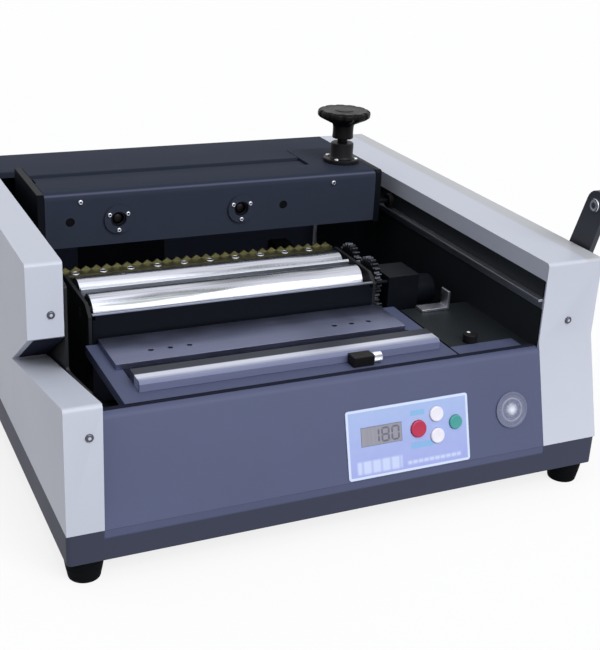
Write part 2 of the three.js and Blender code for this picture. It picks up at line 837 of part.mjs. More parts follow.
// Mains inlet: a flanged body through the back wall with a recess and three contact pins
function addPowerInlet() {
  const spanX = [inletX - inletWidth / 2, inletX + inletWidth / 2];
  const spanZ = [inletFoot, inletFoot + inletHeight];
  const face = halfDepth + seatGap;
  const flange = box([spanX[0] - inletFlange, spanX[1] + inletFlange], [face, face + coverSheet],
    [spanZ[0] - inletFlange, spanZ[1] + inletFlange]);
  const body = box(spanX, [face - inletDepth, face + coverSheet / 2], spanZ);
  const recess = box([spanX[0] + coverSheet, spanX[1] - coverSheet],
    [face - inletDepth + coverSheet * 2, face + overrun], [spanZ[0] + coverSheet, spanZ[1] - coverSheet]);
  const pins = pinRiseShares.map((share, i) => {
    const x = inletX + (i - 1) * pinPitch;
    const z = inletFoot + inletHeight * share;
    return box([x - pinWidth / 2, x + pinWidth / 2], [face - inletDepth + coverSheet, face - inletFlange],
      [z - pinRise / 2, z + pinRise / 2]);
  });
  place('power_inlet', finishes.blackPlastic, join(cut(join(flange, body), recess), ...pins));
}

// Side frames: steel plates on the pan's floor, each with a foot flange and holes for the shafts
function addSideFrames() {
  const base = floorTop + seatGap;
  const underLeftCover = (y) => frontLeftTop - frontLeftFall * (halfDepth + y) - underCoverGap;
  const notchFoot = panelTopHeight - frameNotch;
  const frameFront = panelTopY + panelShelf + frameInset;
  const leftOutline = [
    [-halfDepth + frameInset, base],
    [halfDepth - frameInset, base],
    [halfDepth - frameInset, rearLeftTop - coverLip - frameInset],
    [rearLeftFront + frameInset, rearLeftTop - coverLip - frameInset],
    [rearLeftFront + frameInset, underLeftCover(rearLeftFront)],
    [frameFront, underLeftCover(frameFront)],
    [frameFront, notchFoot],
    [panelFaceY(notchFoot) + frameInset, notchFoot],
    [panelFaceY(coverFoot) + frameInset, coverFoot],
  ];
  const rightOutline = [
    [-halfDepth + frameInset, base],
    [halfDepth - frameInset, base],
    [halfDepth - frameInset, rightCoverTop - frameInset],
    [rightCoverFront + frameInset, rightCoverTop - frameInset],
    [rightCoverFront + frameInset, panelFaceHeight(rightCoverFront)],
    [panelFaceY(coverFoot) + frameInset, coverFoot],
  ];
  const bore = pressShaftRadius + holeGap;
  const leftRail = box([leftFrameX + frameSheet / 2, leftRailEdge + leftRailWidth], [railFront, railBack],
    [leftRailTop - leftRailHeight, leftRailTop]);
  [['left_side_frame', leftOutline, leftFrameX, -1, leftRail],
    ['right_side_frame', rightOutline, rightFrameX, 1, shelfBody()]]
    .forEach(([name, outline, x, side, fitting]) => {
      const plate = prism('x', rounded(outline, bendRadius), x, x + frameSheet);
      const flangeX = side < 0 ? [x - frameFlange, x + frameSheet] : [x, x + frameSheet + frameFlange];
      const flange = box(flangeX, [frameFootInset - halfDepth, halfDepth - frameFootInset],
        [base, base + frameSheet]);
      const hole = bar('x', [leverY, leverHeight], bore, x - overrun, x + frameSheet + overrun);
      place(name, finishes.blackSteel, cut(join(plate, flange, fitting), hole));
    });
}

// Fixed shelf at the table's right, folded from the frame's side, with the dial's hole
function shelfBody() {
  const right = rightFrameX + frameSheet / 2;
  const profile = [
    [shelfLeft, tableTop - tableSkirt],
    [shelfLeft + coverSheet, tableTop - tableSkirt],
    [shelfLeft + coverSheet, tableTop - coverSheet],
    [right, tableTop - coverSheet],
    [right, tableTop],
    [shelfLeft, tableTop],
  ];
  const shaftHole = bar('z', [dialX, dialY], axleRadius + holeGap, tableTop - overrun, tableTop + overrun);
  return cut(prism('y', profile.map(([x, z]) => [z, x]).reverse(), tableFront, shelfBack), shaftHole);
}

// Angle rail for the carriage's right wheels. The left wheel runs on a low rail on its frame
function addRail() {
  const rightX = rightFrameX - seatGap;
  const angle = [
    [rightX - rightRailWidth, rightRailTop - frameSheet],
    [rightX - frameSheet, rightRailTop - frameSheet],
    [rightX - frameSheet, rightRailTop - rightRailHeight],
    [rightX, rightRailTop - rightRailHeight],
    [rightX, rightRailTop],
    [rightX - rightRailWidth, rightRailTop],
  ];
  place('right_rail', finishes.aluminium,
    prism('y', angle.map(([x, z]) => [z, x]).reverse(), railFront, railBack));
}

// Clamp carriage: a folded housing over the front jaw, with a gear head at its right end
const carriage = new THREE.Group();

function addCarriage() {
  machine.add(carriage);
  addHousing();
  addFrontJaw();
  addSpindles();
  addCrossShaft();
  addRearJaw();
  addCarriageEnds();
}

// Housing: a folded channel, open below and behind, that ends in a closed gear head. Its front
// carries the bushes, the plate screws and, inside, the bearings of the cross shaft
function addHousing() {
  const back = carriageFront + housingDepth;
  const channel = rectangle([carriageFront, back], [carriageFoot, carriageTop]);
  const head = rectangle([carriageFront, rearJawBack], [carriageFoot, carriageTop]);
  const corners = [0, 0, 0, carriageBend];
  const innerCorners = [0, 0, 0, carriageBend - carriageSheet];
  const shell = join(
    prism('x', rounded(channel, corners), carriageLeft, carriageRight),
    prism('x', rounded(head, corners), headLeft, carriageRight),
    ...spindlePlaces.map((x) => bar('y', [rodHeight, x], flangeRadius, carriageFront - flangeThickness,
      carriageFront + carriageSheet / 2)));
  const openWalls = [-overrun, -overrun, carriageSheet, carriageSheet];
  const closedWalls = [-overrun, carriageSheet, carriageSheet, carriageSheet];
  const open = rounded(inset(channel, openWalls), innerCorners);
  const closed = rounded(inset(head, closedWalls), innerCorners);
  const inside = join(
    prism('x', open, carriageLeft + carriageSheet, headLeft + carriageSheet),
    prism('x', closed, headLeft + carriageSheet, carriageRight - carriageSheet));
  const wallSpan = [carriageFront - overrun, carriageFront + carriageSheet + overrun];
  const holes = [
    ...rodPlaces.map((x) => bar('y', [rodHeight, x], rodRadius + holeGap, ...wallSpan)),
    ...spindlePlaces.map((x) => bar('y', [rodHeight, x], nutHubRadius + holeGap, ...wallSpan)),
    bar('z', [knobX, knobY], knobShaftRadius + slideGap, carriageTop - overrun, carriageTop + overrun),
  ];
  place('carriage_housing', finishes.darkPaint,
    join(cut(shell, inside, ...holes), ...housingScrews(), ...shaftBearings()), carriage);
}

function housingScrews() {
  const face = carriageFront - flangeThickness;
  const bushScrews = spindlePlaces.flatMap((x) => flangeScrewAngles.map((degrees) => {
    const angle = THREE.MathUtils.degToRad(degrees);
    const at = [rodHeight + flangeScrewCircle * Math.sin(angle), x + flangeScrewCircle * Math.cos(angle)];
    return bar('y', at, flangeScrewRadius, face - coverScrewStand, face + flangeThickness / 2, screwSides);
  }));
  const plateScrewPlaces = [carriageLeft + plateScrewInsets[0], carriageRight - plateScrewInsets[1]];
  const plateScrews = plateScrewPlaces.map((x) => (
    bar('y', [carriageTop - plateScrewDrop, x], flangeScrewRadius, carriageFront - coverScrewStand,
      carriageFront + carriageSheet / 2, screwSides)));
  return [...bushScrews, ...plateScrews];
}

function shaftBearings() {
  const reach = crossShaftRadius + shaftBearingWall;
  const places = [spindlePlaces[0] - shaftBearingOffset, clampMiddle, spindlePlaces[1] + shaftBearingOffset];
  return places.map((x) => cut(
    box([x - shaftBearingWidth / 2, x + shaftBearingWidth / 2],
      [carriageFront + carriageSheet / 2, crossShaftY + reach],
      [crossShaftHeight - reach, crossShaftHeight + reach]),
    bar('x', [crossShaftY, crossShaftHeight], crossShaftRadius + holeGap, x - shaftBearingWidth,
      x + shaftBearingWidth)));
}

// Front jaw: a plate with a flap on top that slides under the housing, and two guide rods that
// come out through the housing's face as the clamp opens
function addFrontJaw() {
  const jawTop = carriageTop - carriageSheet - seatGap;
  const jawFront = frontJawBack - frontJawThickness;
  const section = [
    [jawFront, carriageFoot - jawDrop],
    [frontJawBack, carriageFoot - jawDrop],
    [frontJawBack, jawTop],
    [frontJawBack - flapDepth, jawTop],
    [frontJawBack - flapDepth, jawTop - carriageSheet],
    [jawFront, jawTop - carriageSheet],
  ];
  const rods = rodPlaces.map((x) => bar('y', [rodHeight, x], rodRadius, carriageFront + rodRecess,
    jawFront + frontJawThickness / 2));
  const plate = prism('x', section, jawLeft, jawRight - slideGap);
  place('front_jaw', finishes.darkPaint, join(plate, ...rods), carriage);
}

// Spindles are fixed in the front jaw. Each runs through a nut that turns in its flanged bush
function addSpindles() {
  const jawFront = frontJawBack - frontJawThickness;
  const wheelOuter = crossShaftHeight - rodHeight - wormRadius - seatGap;
  spindlePlaces.forEach((x, i) => {
    const side = i ? 'right' : 'left';
    place(`clamp_spindle_${side}`, finishes.brightSteel,
      bar('y', [rodHeight, x], spindleRadius, carriageFront + rodRecess, jawFront - seatGap), carriage);
    const nut = cut(
      join(
        bar('y', [rodHeight, x], nutHubRadius, carriageFront, crossShaftY),
        bar('y', [rodHeight, x], wheelOuter, crossShaftY - nutWidth / 2, crossShaftY + nutWidth / 2)),
      bar('y', [rodHeight, x], spindleRadius + holeGap, carriageFront - overrun, crossShaftY + nutWidth));
    place(`spindle_nut_${side}`, finishes.brass, nut, carriage);
  });
}

// Cross shaft with a worm over each nut and a driver beside the knob's wheel
function addCrossShaft() {
  const worms = spindlePlaces.map((x) => bar('x', [crossShaftY, crossShaftHeight], wormRadius,
    x - wormLength / 2, x + wormLength / 2));
  const driver = bar('x', [crossShaftY, crossShaftHeight], driverRadius, knobX - driverWidth / 2,
    knobX + driverWidth / 2);
  const shaft = bar('x', [crossShaftY, crossShaftHeight], crossShaftRadius,
    spindlePlaces[0] - shaftBearingOffset - shaftBearingWidth, carriageRight - carriageSheet - seatGap);
  place('cross_shaft', finishes.brightSteel, join(shaft, driver, ...worms), carriage);
}

// Rear jaw: a thick face on a hollow back, open below, fixed between the carriage's ends
function addRearJaw() {
  const spanX = [carriageLeft, headLeft - seatGap];
  const outside = box(spanX, [secondJaw, rearJawBack], [carriageFoot - jawDrop, carriageTop]);
  const hollow = box([spanX[0] + carriageSheet, spanX[1] - carriageSheet],
    [secondJaw + rearJawFace, rearJawBack - carriageSheet],
    [carriageFoot - jawDrop - overrun, carriageTop - carriageSheet]);
  place('rear_jaw', finishes.darkPaint, cut(outside, hollow), carriage);
}

// End plates carry the wheel axles: the left one reaches down to the low rail
function addCarriageEnds() {
  const plateX = [carriageLeft - seatGap - endPlateThickness, carriageLeft - seatGap];
  const middleY = (carriageFront + rearJawBack) / 2;
  const legY = [middleY - legWidth / 2, middleY + legWidth / 2];
  const leftLegFoot = leftRailTop + leftLegGap;
  const leftOutline = [
    [legY[0] + frameInset, leftLegFoot],
    [legY[1] - frameInset, leftLegFoot],
    [legY[1], leftLegFoot + frameInset],
    [legY[1], carriageFoot],
    [rearJawBack, carriageFoot + frameInset],
    [rearJawBack, carriageTop],
    [carriageFront, carriageTop],
    [carriageFront, carriageFoot + frameInset],
    [legY[0], carriageFoot],
    [legY[0], leftLegFoot + frameInset],
  ];
  const leftWheelX = [leftRailEdge + slideGap, leftRailEdge + slideGap + wheelWidth];
  const rightPlateX = [carriageRight + seatGap, carriageRight + seatGap + endPlateThickness];
  const rightOutline = rectangle([carriageFront, rearJawBack], [carriageFoot - jawDrop, carriageTop]);
  const rightRail = rightFrameX - seatGap - rightRailWidth;
  const rightWheelX = [rightRail, rightRail + wheelWidth];
  const sides = {
    left: {
      plate: prism('x', leftOutline, ...plateX),
      wheelX: leftWheelX,
      height: leftRailTop + seatGap + leftWheelRadius,
      radius: leftWheelRadius,
      axleX: [leftWheelX[0], plateX[1] - seatGap],
      wheels: { middle: middleY },
    },
    right: {
      plate: prism('x', rounded(rightOutline, bendRadius), ...rightPlateX),
      wheelX: rightWheelX,
      height: rightRailTop + seatGap + wheelRadius,
      radius: wheelRadius,
      axleX: [rightPlateX[0] + seatGap, rightWheelX[1]],
      wheels: { front: middleY - wheelSpacing / 2, rear: middleY + wheelSpacing / 2 },
    },
  };
  Object.entries(sides).forEach(([side, { plate, wheelX, height, radius, axleX, wheels }]) => {
    const axles = Object.values(wheels).map((y) => bar('x', [y, height], axleRadius, ...axleX));
    place(`carriage_end_${side}`, finishes.blackSteel, join(plate, ...axles), carriage);
    Object.entries(wheels).forEach(([end, y]) => {
      const wheel = cut(bar('x', [y, height], radius, ...wheelX, turnedSides),
        bar('x', [y, height], axleRadius + holeGap, wheelX[0] - overrun, wheelX[1] + overrun));
      place(`wheel_${side}_${end}`, finishes.blackPlastic, wheel, carriage);
    });
  });
}

// Knob on its flanged boss. A wheel on the foot of its shaft turns the cross shaft
function addKnob() {
  const base = carriageTop + seatGap;
  const boss = turned([
    [knobShaftRadius + holeGap, base],
    [knobBaseRadius, base],
    [knobBaseRadius, base + knobBaseThickness],
    [knobBossRadius, base + knobBaseThickness + coverScrewStand],
    [knobBossRadius, knobBossTop],
    [knobShaftRadius + holeGap, knobBossTop],
    [knobShaftRadius + holeGap, base],
  ], [knobX, knobY]);
  const screws = knobScrewAngles.map((degrees) => {
    const angle = THREE.MathUtils.degToRad(degrees);
    const reach = (knobBaseRadius + knobBossRadius) / 2;
    const at = [knobX + reach * Math.cos(angle), knobY + reach * Math.sin(angle)];
    return bar('z', at, flangeScrewRadius, base + knobBaseThickness / 2,
      base + knobBaseThickness + coverScrewStand, screwSides);
  });
  place('knob_base', finishes.blackPlastic, join(boss, ...screws), carriage);
  const shaft = bar('z', [knobX, knobY], knobShaftRadius, crossShaftHeight - knobGearWidth / 2,
    knobNeckFoot + overrun);
  const wheel = bar('z', [knobX, knobY], knobY - crossShaftY - driverRadius - seatGap,
    crossShaftHeight - knobGearWidth / 2, crossShaftHeight + knobGearWidth / 2);
  const headSteps = [
    [0, knobNeckFoot],
    [knobNeckRadius, knobNeckFoot],
    [knobNeckRadius, knobHeadFoot],
    [knobHeadRadius * knobTaperShare, knobRimFoot],
    [knobHeadRadius, knobRimFoot + knobRimRise],
    [knobHeadRadius, knobTop - knobRimRise],
    [knobHeadRadius * knobCrownShare, knobTop],
    [0, knobTop],
  ];
  let head = turned(headSteps, [knobX, knobY]);
  for (let i = 0; i < knobFlutes; i += 1) {
    const angle = 2 * Math.PI * i / knobFlutes;
    const reach = knobHeadRadius + fluteRadius / 2;
    const at = [knobX + reach * Math.cos(angle), knobY + reach * Math.sin(angle)];
    head = cut(head, bar('z', at, fluteRadius, knobHeadFoot - overrun, knobTop + overrun, screwSides));
  }
  place('clamp_knob', finishes.blackPlastic, join(head, shaft, wheel), carriage);
}

// Glue unit, everything between two end plates that stand on the pan's floor
const glueUnit = new THREE.Group();
const hollowRadius = rollerRadius + tankClearance;
const tankBack = rearRollerY + hollowRadius + tankEndWall;
const tankEnds = [rollerLeft - seatGap, rollerRight + seatGap];
const tankSpan = [tankEnds[0] - tankEndWall, tankEnds[1] + tankEndWall];
const glueEnds = {
  left: [tankSpan[0] - seatGap - glueEndThickness, tankSpan[0] - seatGap],
  right: [tankSpan[1] + seatGap, tankSpan[1] + seatGap + glueEndThickness],
};
const gearFace = glueEnds.right[1] + gearStand;
const gearModule = rollerSpacing / gearTeeth;
const pitchRadius = rollerSpacing / 2;
const pinionPitch = gearModule * pinionTeeth / 2;
const pinionReach = pitchRadius + pinionPitch;
const pinionPlace = [
  mainRollerY + pinionReach * Math.cos(pinionAngle),
  rollerHeight + pinionReach * Math.sin(pinionAngle),
];

function addGlueUnit() {
  machine.add(glueUnit);
  addGlueEnds();
  addTank();
  addRollers();
  addCutter();
  addMotor();
}

function addGlueEnds() {
  const base = floorTop + seatGap;
  Object.entries(glueEnds).forEach(([side, span]) => {
    const outline = [
      [tankFront, base],
      [glueEndBack, base],
      [glueEndBack, cutterTop - cutterSheet - seatGap],
      [cutterFront - seatGap, cutterTop - cutterSheet - seatGap],
      [cutterFront - seatGap, rollerHeight + glueEndRise],
      [mainRollerY - rollerRadius, rollerHeight + glueEndRise],
      [tankFront, tankFrontTop - seatGap],
    ];
    const journals = [mainRollerY, rearRollerY].map((y) => (
      bar('x', [y, rollerHeight], journalRadius + holeGap / 2, span[0] - overrun, span[1] + overrun)));
    const corners = [0, 0, 0, 0, bendRadius, bendRadius, 0];
    const plate = cut(prism('x', rounded(outline, corners), ...span), ...journals);
    const foot = box([span[0], span[1] + (side === 'left' ? frameFlange : 0)],
      [tankFront, glueEndBack], [base, base + frameSheet]);
    const whole = side === 'left' ? join(plate, foot) : plate;
    place(`glue_end_${side}`, finishes.blackSteel, whole, glueUnit);
  });
}

// Tank: a cast trough with a round hollow under each roller, its heater below and strips above
function addTank() {
  const outline = [
    [tankFront, tankFoot],
    [tankBack, tankFoot],
    [tankBack, tankBackTop],
    [rearRollerY + hollowRadius, tankBackTop],
    [rearRollerY + hollowRadius, rollerHeight],
    ...arc([rearRollerY, rollerHeight], hollowRadius, 0, -Math.PI, middleSides).slice(1),
    ...arc([mainRollerY, rollerHeight], hollowRadius, 0, -Math.PI, middleSides),
    [tankFront + tankEndWall, tankFrontTop],
    [tankFront, tankFrontTop],
  ];
  const trough = prism('x', outline, ...tankEnds);
  const wallOutline = [
    [tankFront, tankFoot],
    [tankBack, tankFoot],
    [tankBack, tankBackTop],
    [tankFront, tankBackTop],
  ];
  const walls = [[tankSpan[0], tankEnds[0]], [tankEnds[1], tankSpan[1]]].map((span) => cut(
    prism('x', wallOutline, ...span),
    ...[mainRollerY, rearRollerY].map((y) => (
      bar('x', [y, rollerHeight], journalRadius + slideGap, span[0] - overrun, span[1] + overrun)))));
  place('glue_tank', finishes.darkPaint, join(trough, ...walls), glueUnit);
  const heaterTop = tankFoot - seatGap;
  place('heater_plate', finishes.aluminium, box(
    [tankEnds[0] + heaterInset, tankEnds[1] - heaterInset],
    [tankFront + heaterInset, tankBack - heaterInset],
    [heaterTop - heaterThickness, heaterTop]), glueUnit);
  const lip = [
    [tankFront, tankFrontTop + seatGap],
    [tankFront + tankEndWall, tankFrontTop + seatGap],
    [tankFront + tankEndWall + lipDepth, tankFrontTop + seatGap - lipDepth / 2],
    [tankFront + tankEndWall + lipDepth, tankFrontTop + seatGap - lipDepth / 2 + lipThickness],
    [tankFront + tankEndWall, tankFrontTop + seatGap + lipThickness],
    [tankFront, tankFrontTop + seatGap + lipThickness],
  ];
  place('glue_lip', finishes.aluminium, prism('x', lip, ...tankSpan), glueUnit);
  const landY = (mainRollerY + rearRollerY) / 2;
  const bladeTop = rollerHeight + bladeRise;
  const blade = [
    [landY - bladeThickness / 2, rollerHeight + seatGap],
    [landY + bladeThickness / 2, rollerHeight + seatGap],
    [landY + bladeThickness / 2, bladeTop - bladeThickness / 2],
    [landY, bladeTop],
    [landY - bladeThickness / 2, bladeTop - bladeThickness / 2],
  ];
  place('doctor_blade', finishes.aluminium, prism('x', blade, ...tankEnds), glueUnit);
}

// An involute gear outline, thinned for backlash, turned by a phase in teeth
function gearOutline([a, b], teeth, phase) {
  const pitch = gearModule * teeth / 2;
  const base = pitch * Math.cos(THREE.MathUtils.degToRad(toothAngle));
  const tip = pitch + gearModule * toothTipShare;
  const root = pitch - gearModule * toothRootShare;
  const halfTooth = Math.PI / 2 / teeth - gearModule * toothSlackShare / pitch;
  const involute = (radius) => {
    const roll = Math.sqrt(Math.max((radius / base) ** 2 - 1, 0));
    return roll - Math.atan(roll);
  };
  const points = [];
  for (let tooth = 0; tooth < teeth; tooth += 1) {
    const middle = 2 * Math.PI * (tooth + phase) / teeth;
    const side = [root, pitch, tip].map((radius) => [radius, halfTooth + involute(pitch) - involute(radius)]);
    const risingSide = side.map(([radius, angle]) => [radius, middle - angle]);
    const fallingSide = side.map(([radius, angle]) => [radius, middle + angle]).reverse();
    [...risingSide, ...fallingSide].forEach(([radius, angle]) => {
      points.push([a + radius * Math.cos(angle), b + radius * Math.sin(angle)]);
    });
  }
  return points;
}

function addRollers() {
  const rollers = { main_roller: mainRollerY, rear_roller: rearRollerY };
  Object.entries(rollers).forEach(([name, y]) => {
    const drum = bar('x', [y, rollerHeight], rollerRadius, rollerLeft + slideGap, rollerRight - slideGap,
      drumSides);
    const journal = bar('x', [y, rollerHeight], journalRadius, glueEnds.left[0], gearFace + gearWidth / 2);
    const tip = bar('x', [y, rollerHeight], journalTipRadius, glueEnds.left[0], gearFace + gearWidth);
    place(name, finishes.brightSteel, join(drum, journal, tip), glueUnit);
  });
  // The main gear has a tooth on +y and the rear gear a gap on -y, so the pair is in mesh
  const gears = { main_gear: [mainRollerY, 0], rear_gear: [rearRollerY, gearTeeth / 2 + toothMiddleShare] };
  Object.entries(gears).forEach(([name, [y, phase]]) => {
    const teeth = gearOutline([y, rollerHeight], gearTeeth, phase);
    const blank = prism('x', teeth, gearFace, gearFace + gearWidth);
    const hole = bar('x', [y, rollerHeight], journalRadius + holeGap, gearFace - overrun,
      gearFace + gearWidth + overrun);
    place(name, finishes.brass, cut(blank, hole), glueUnit);
  });
}

// Pinion on the motor's shaft, with a gap on the line towards the main gear
function addMotor() {
  const mainPhase = (pinionAngle * gearTeeth / (2 * Math.PI)) % 1;
  const towards = (pinionAngle - Math.PI) * pinionTeeth / (2 * Math.PI);
  const phase = towards + mainPhase + toothMiddleShare;
  const bodyLeft = gearFace + gearWidth + gearStand;
  const pinion = join(
    prism('x', gearOutline(pinionPlace, pinionTeeth, phase), gearFace, gearFace + gearWidth),
    bar('x', pinionPlace, axleRadius, gearFace + gearWidth / 2, bodyLeft + gearStand));
  place('motor_pinion', finishes.brightSteel, pinion, glueUnit);
  const spanY = [tankFront, tankFront + motorDepth];
  const motorFoot = rollerHeight - motorDrop;
  const motorTop = motorFoot + motorHeight;
  const block = box([bodyLeft, bodyLeft + motorLidLength], spanY, [motorFoot, motorTop]);
  const pillars = [
    [spanY[0] + motorPillarInset[0], motorTop - motorPillarInset[1]],
    [spanY[1] - motorPillarInset[0], motorFoot + motorPillarInset[1]],
  ].map((at) => bar('x', at, motorPillarRadius, glueEnds.right[1] + seatGap, bodyLeft + gearStand));
  const can = bar('x', [tankFront + motorDepth / 2, (motorFoot + motorTop) / 2], motorDepth / 2 - bendRadius,
    bodyLeft + motorLidLength / 2, bodyLeft + motorLength);
  const shaftHole = bar('x', pinionPlace, axleRadius + holeGap, bodyLeft - overrun,
    bodyLeft + gearStand + overrun);
  place('gear_motor', finishes.blackSteel, cut(join(block, can, ...pillars), shaftHole), glueUnit);
}

// Cutter rail behind the rollers: a flange with a row of holes and a saw-toothed back edge
function addCutter() {
  const back = cutterFront + cutterWidth;
  const span = [glueEnds.left[0], glueEnds.right[1]];
  const angle = [
    [cutterFront, cutterTop - cutterSheet],
    [back - cutterSheet, cutterTop - cutterSheet],
    [back - cutterSheet, cutterTop],
    [cutterFront, cutterTop],
  ];
  const count = Math.floor((span[1] - span[0]) / toothPitch);
  const left = (span[0] + span[1] - count * toothPitch) / 2;
  const saw = [[cutterTop - cutterDrop, left], [cutterTop - cutterDrop, left + count * toothPitch]];
  for (let i = count; i > 0; i -= 1) {
    saw.push([cutterTop, left + i * toothPitch]);
    saw.push([cutterTop + toothHeight, left + (i - toothPeakShare) * toothPitch]);
  }
  saw.push([cutterTop, left]);
  const web = prism('y', saw, back - cutterSheet, back);
  const ends = [
    [span[0] - overrun, glueEnds.left[1] + seatGap],
    [glueEnds.right[0] - seatGap, span[1] + overrun],
  ];
  const endCuts = ends.map((slot) => box(slot, [cutterFront - overrun, back + overrun],
    [cutterTop - cutterDrop - overrun, cutterTop - cutterSheet]));
  const holes = [];
  for (let x = span[0] + cutterHolePitch / 2; x < span[1]; x += cutterHolePitch) {
    holes.push(bar('z', [x, cutterFront + cutterWidth / 2 - cutterSheet], cutterHoleRadius,
      cutterTop - cutterSheet - overrun, cutterTop + overrun));
  }
  const rail = join(prism('x', angle, ...span), web);
  place('notch_cutter', finishes.brass, cut(rail, ...endCuts, ...holes), glueUnit);
}

// Nipping table: an inverted tray that the cams lift, with the plate, the bar and its stop on it
const table = new THREE.Group();
const tableLand = tableTop + seatGap;
const barTop = tableLand + nipBarThickness;
const camPlaces = [tableLeft + camInset, tableRight - camInset];

function addTable() {
  machine.add(table);
  const tableX = [tableLeft, tableRight];
  const tableY = [tableFront, tableBack];
  const top = box(tableX, tableY, [tableTop - tableSheet, tableTop]);
  const skirt = box(tableX, tableY, [tableTop - tableSkirt, tableTop - tableSheet]);
  const innerX = [tableX[0] + tableSheet, tableX[1] - tableSheet];
  const innerY = [tableY[0] + tableSheet, tableY[1] - tableSheet];
  const hollow = box(innerX, innerY, [tableTop - tableSkirt - overrun, tableTop - tableSheet]);
  const padMiddle = leverY + tableLift / leverSwing;
  const padY = [padMiddle - camPadDepth / 2, padMiddle + camPadDepth / 2];
  const pads = camPlaces.map((x) => box([x - camPadWidth / 2, x + camPadWidth / 2], padY,
    [leverHeight + camBase + seatGap, tableTop - tableSheet / 2]));
  place('nip_table', finishes.slatePaint, join(cut(join(top, skirt), hollow), ...pads), table);
  const plateTop = tableLand + nipPlateThickness;
  const holeGroups = [nipPlateX[0] + nipHoleInsets[0], nipPlateX[1] - nipHoleInsets[1]];
  const holeY = nipPlateFront + nipHoleSetback;
  const plateHoles = holeGroups.flatMap((x) => [-1, 0, 1].map((step) => (
    bar('z', [x + step * nipHolePitch, holeY], nipHoleRadius, tableLand - overrun, plateTop + overrun))));
  const plate = box(nipPlateX, [nipPlateFront, nipPlateBack], [tableLand, plateTop]);
  place('nip_plate', finishes.blueSteel, cut(plate, ...plateHoles), table);
  const section = [
    [nipBarFront, tableLand],
    [nipBarBack, tableLand],
    [nipBarBack, barTop],
    [nipBarFront + nipBarChamfer, barTop],
    [nipBarFront, barTop - nipBarChamfer],
  ];
  place('nip_bar', finishes.brightSteel, prism('x', section, ...nipBarX), table);
}

// Stop that slides along the front of the bar, with its knurled clamping screw
function addStop() {
  const stopBack = nipBarFront - seatGap;
  const stopRight = stopX + stopWidth / 2;
  const screwPlace = [stopBack - stopDepth / 2, tableLand + nipBarThickness / 2];
  const stopY = [stopBack - stopDepth, stopBack];
  const block = box([stopX - stopWidth / 2, stopRight], stopY, [tableLand, barTop]);
  const hole = bar('x', screwPlace, thumbShankRadius + holeGap / 2, stopRight - thumbHoleDepth,
    stopRight + overrun);
  place('side_stop', finishes.blackPlastic, cut(block, hole), table);
  const headStart = stopRight + slideGap;
  const knurl = [];
  for (let i = 0; i < thumbKnurls * 2; i += 1) {
    const angle = Math.PI * i / thumbKnurls;
    const reach = i % 2 ? thumbScrewRadius - thumbKnurlDepth : thumbScrewRadius;
    knurl.push([screwPlace[0] + reach * Math.cos(angle), screwPlace[1] + reach * Math.sin(angle)]);
  }
  const head = prism('x', knurl, headStart, headStart + thumbScrewLength);
  const shank = bar('x', screwPlace, thumbShankRadius, stopRight - thumbShankDepth,
    headStart + thumbScrewLength / 2);
  place('thumb_screw', finishes.brightSteel, join(head, shank), table);
}

// Angle bracket and heater dial on the fixed shelf
function addShelfFittings() {
  const foot = tableTop + seatGap;
  const bracketX = shelfLeft + bracketInset;
  const bracketEnd = bracketX + bracketLength;
  const bracketY = [shelfBack - bracketDepth, shelfBack];
  place('angle_bracket', finishes.brightSteel, join(
    box([bracketX, bracketEnd], bracketY, [foot, foot + bracketThickness]),
    box([bracketEnd - bracketThickness, bracketEnd], bracketY, [foot, foot + bracketRise])));
  const skirt = bar('z', [dialX, dialY], dialRadius, foot, foot + dialHeight, turnedSides);
  const stem = bar('z', [dialX, dialY], axleRadius, tableTop - tableSkirt, foot + dialHeight / 2);
  const mark = bar('z', [dialX, dialY + dialRadius / 2], dialMark, foot + dialHeight - dialMark / 2,
    foot + dialHeight + seatGap);
  place('heater_dial', finishes.blackPlastic, join(skirt, stem, mark));
}

// Cam outline whose height over the shaft grows evenly as the lever swings: a flat pad on it
// rises by the table's lift in one swing
function camOutline() {
  const rate = tableLift / leverSwing;
  const points = [];
  for (let i = 0; i <= camSteps; i += 1) {
    const angle = Math.PI / 2 - leverSwing * i / camSteps;
    const height = camBase + tableLift * i / camSteps;
    points.push([
      leverY + height * Math.cos(angle) + rate * Math.sin(angle),
      leverHeight + height * Math.sin(angle) - rate * Math.cos(angle),
    ]);
  }
  const hub = arc([leverY, leverHeight], camBase - seatGap, Math.PI / 2, Math.PI * 3 / 2, camSteps);
  return [...points.reverse(), ...hub];
}

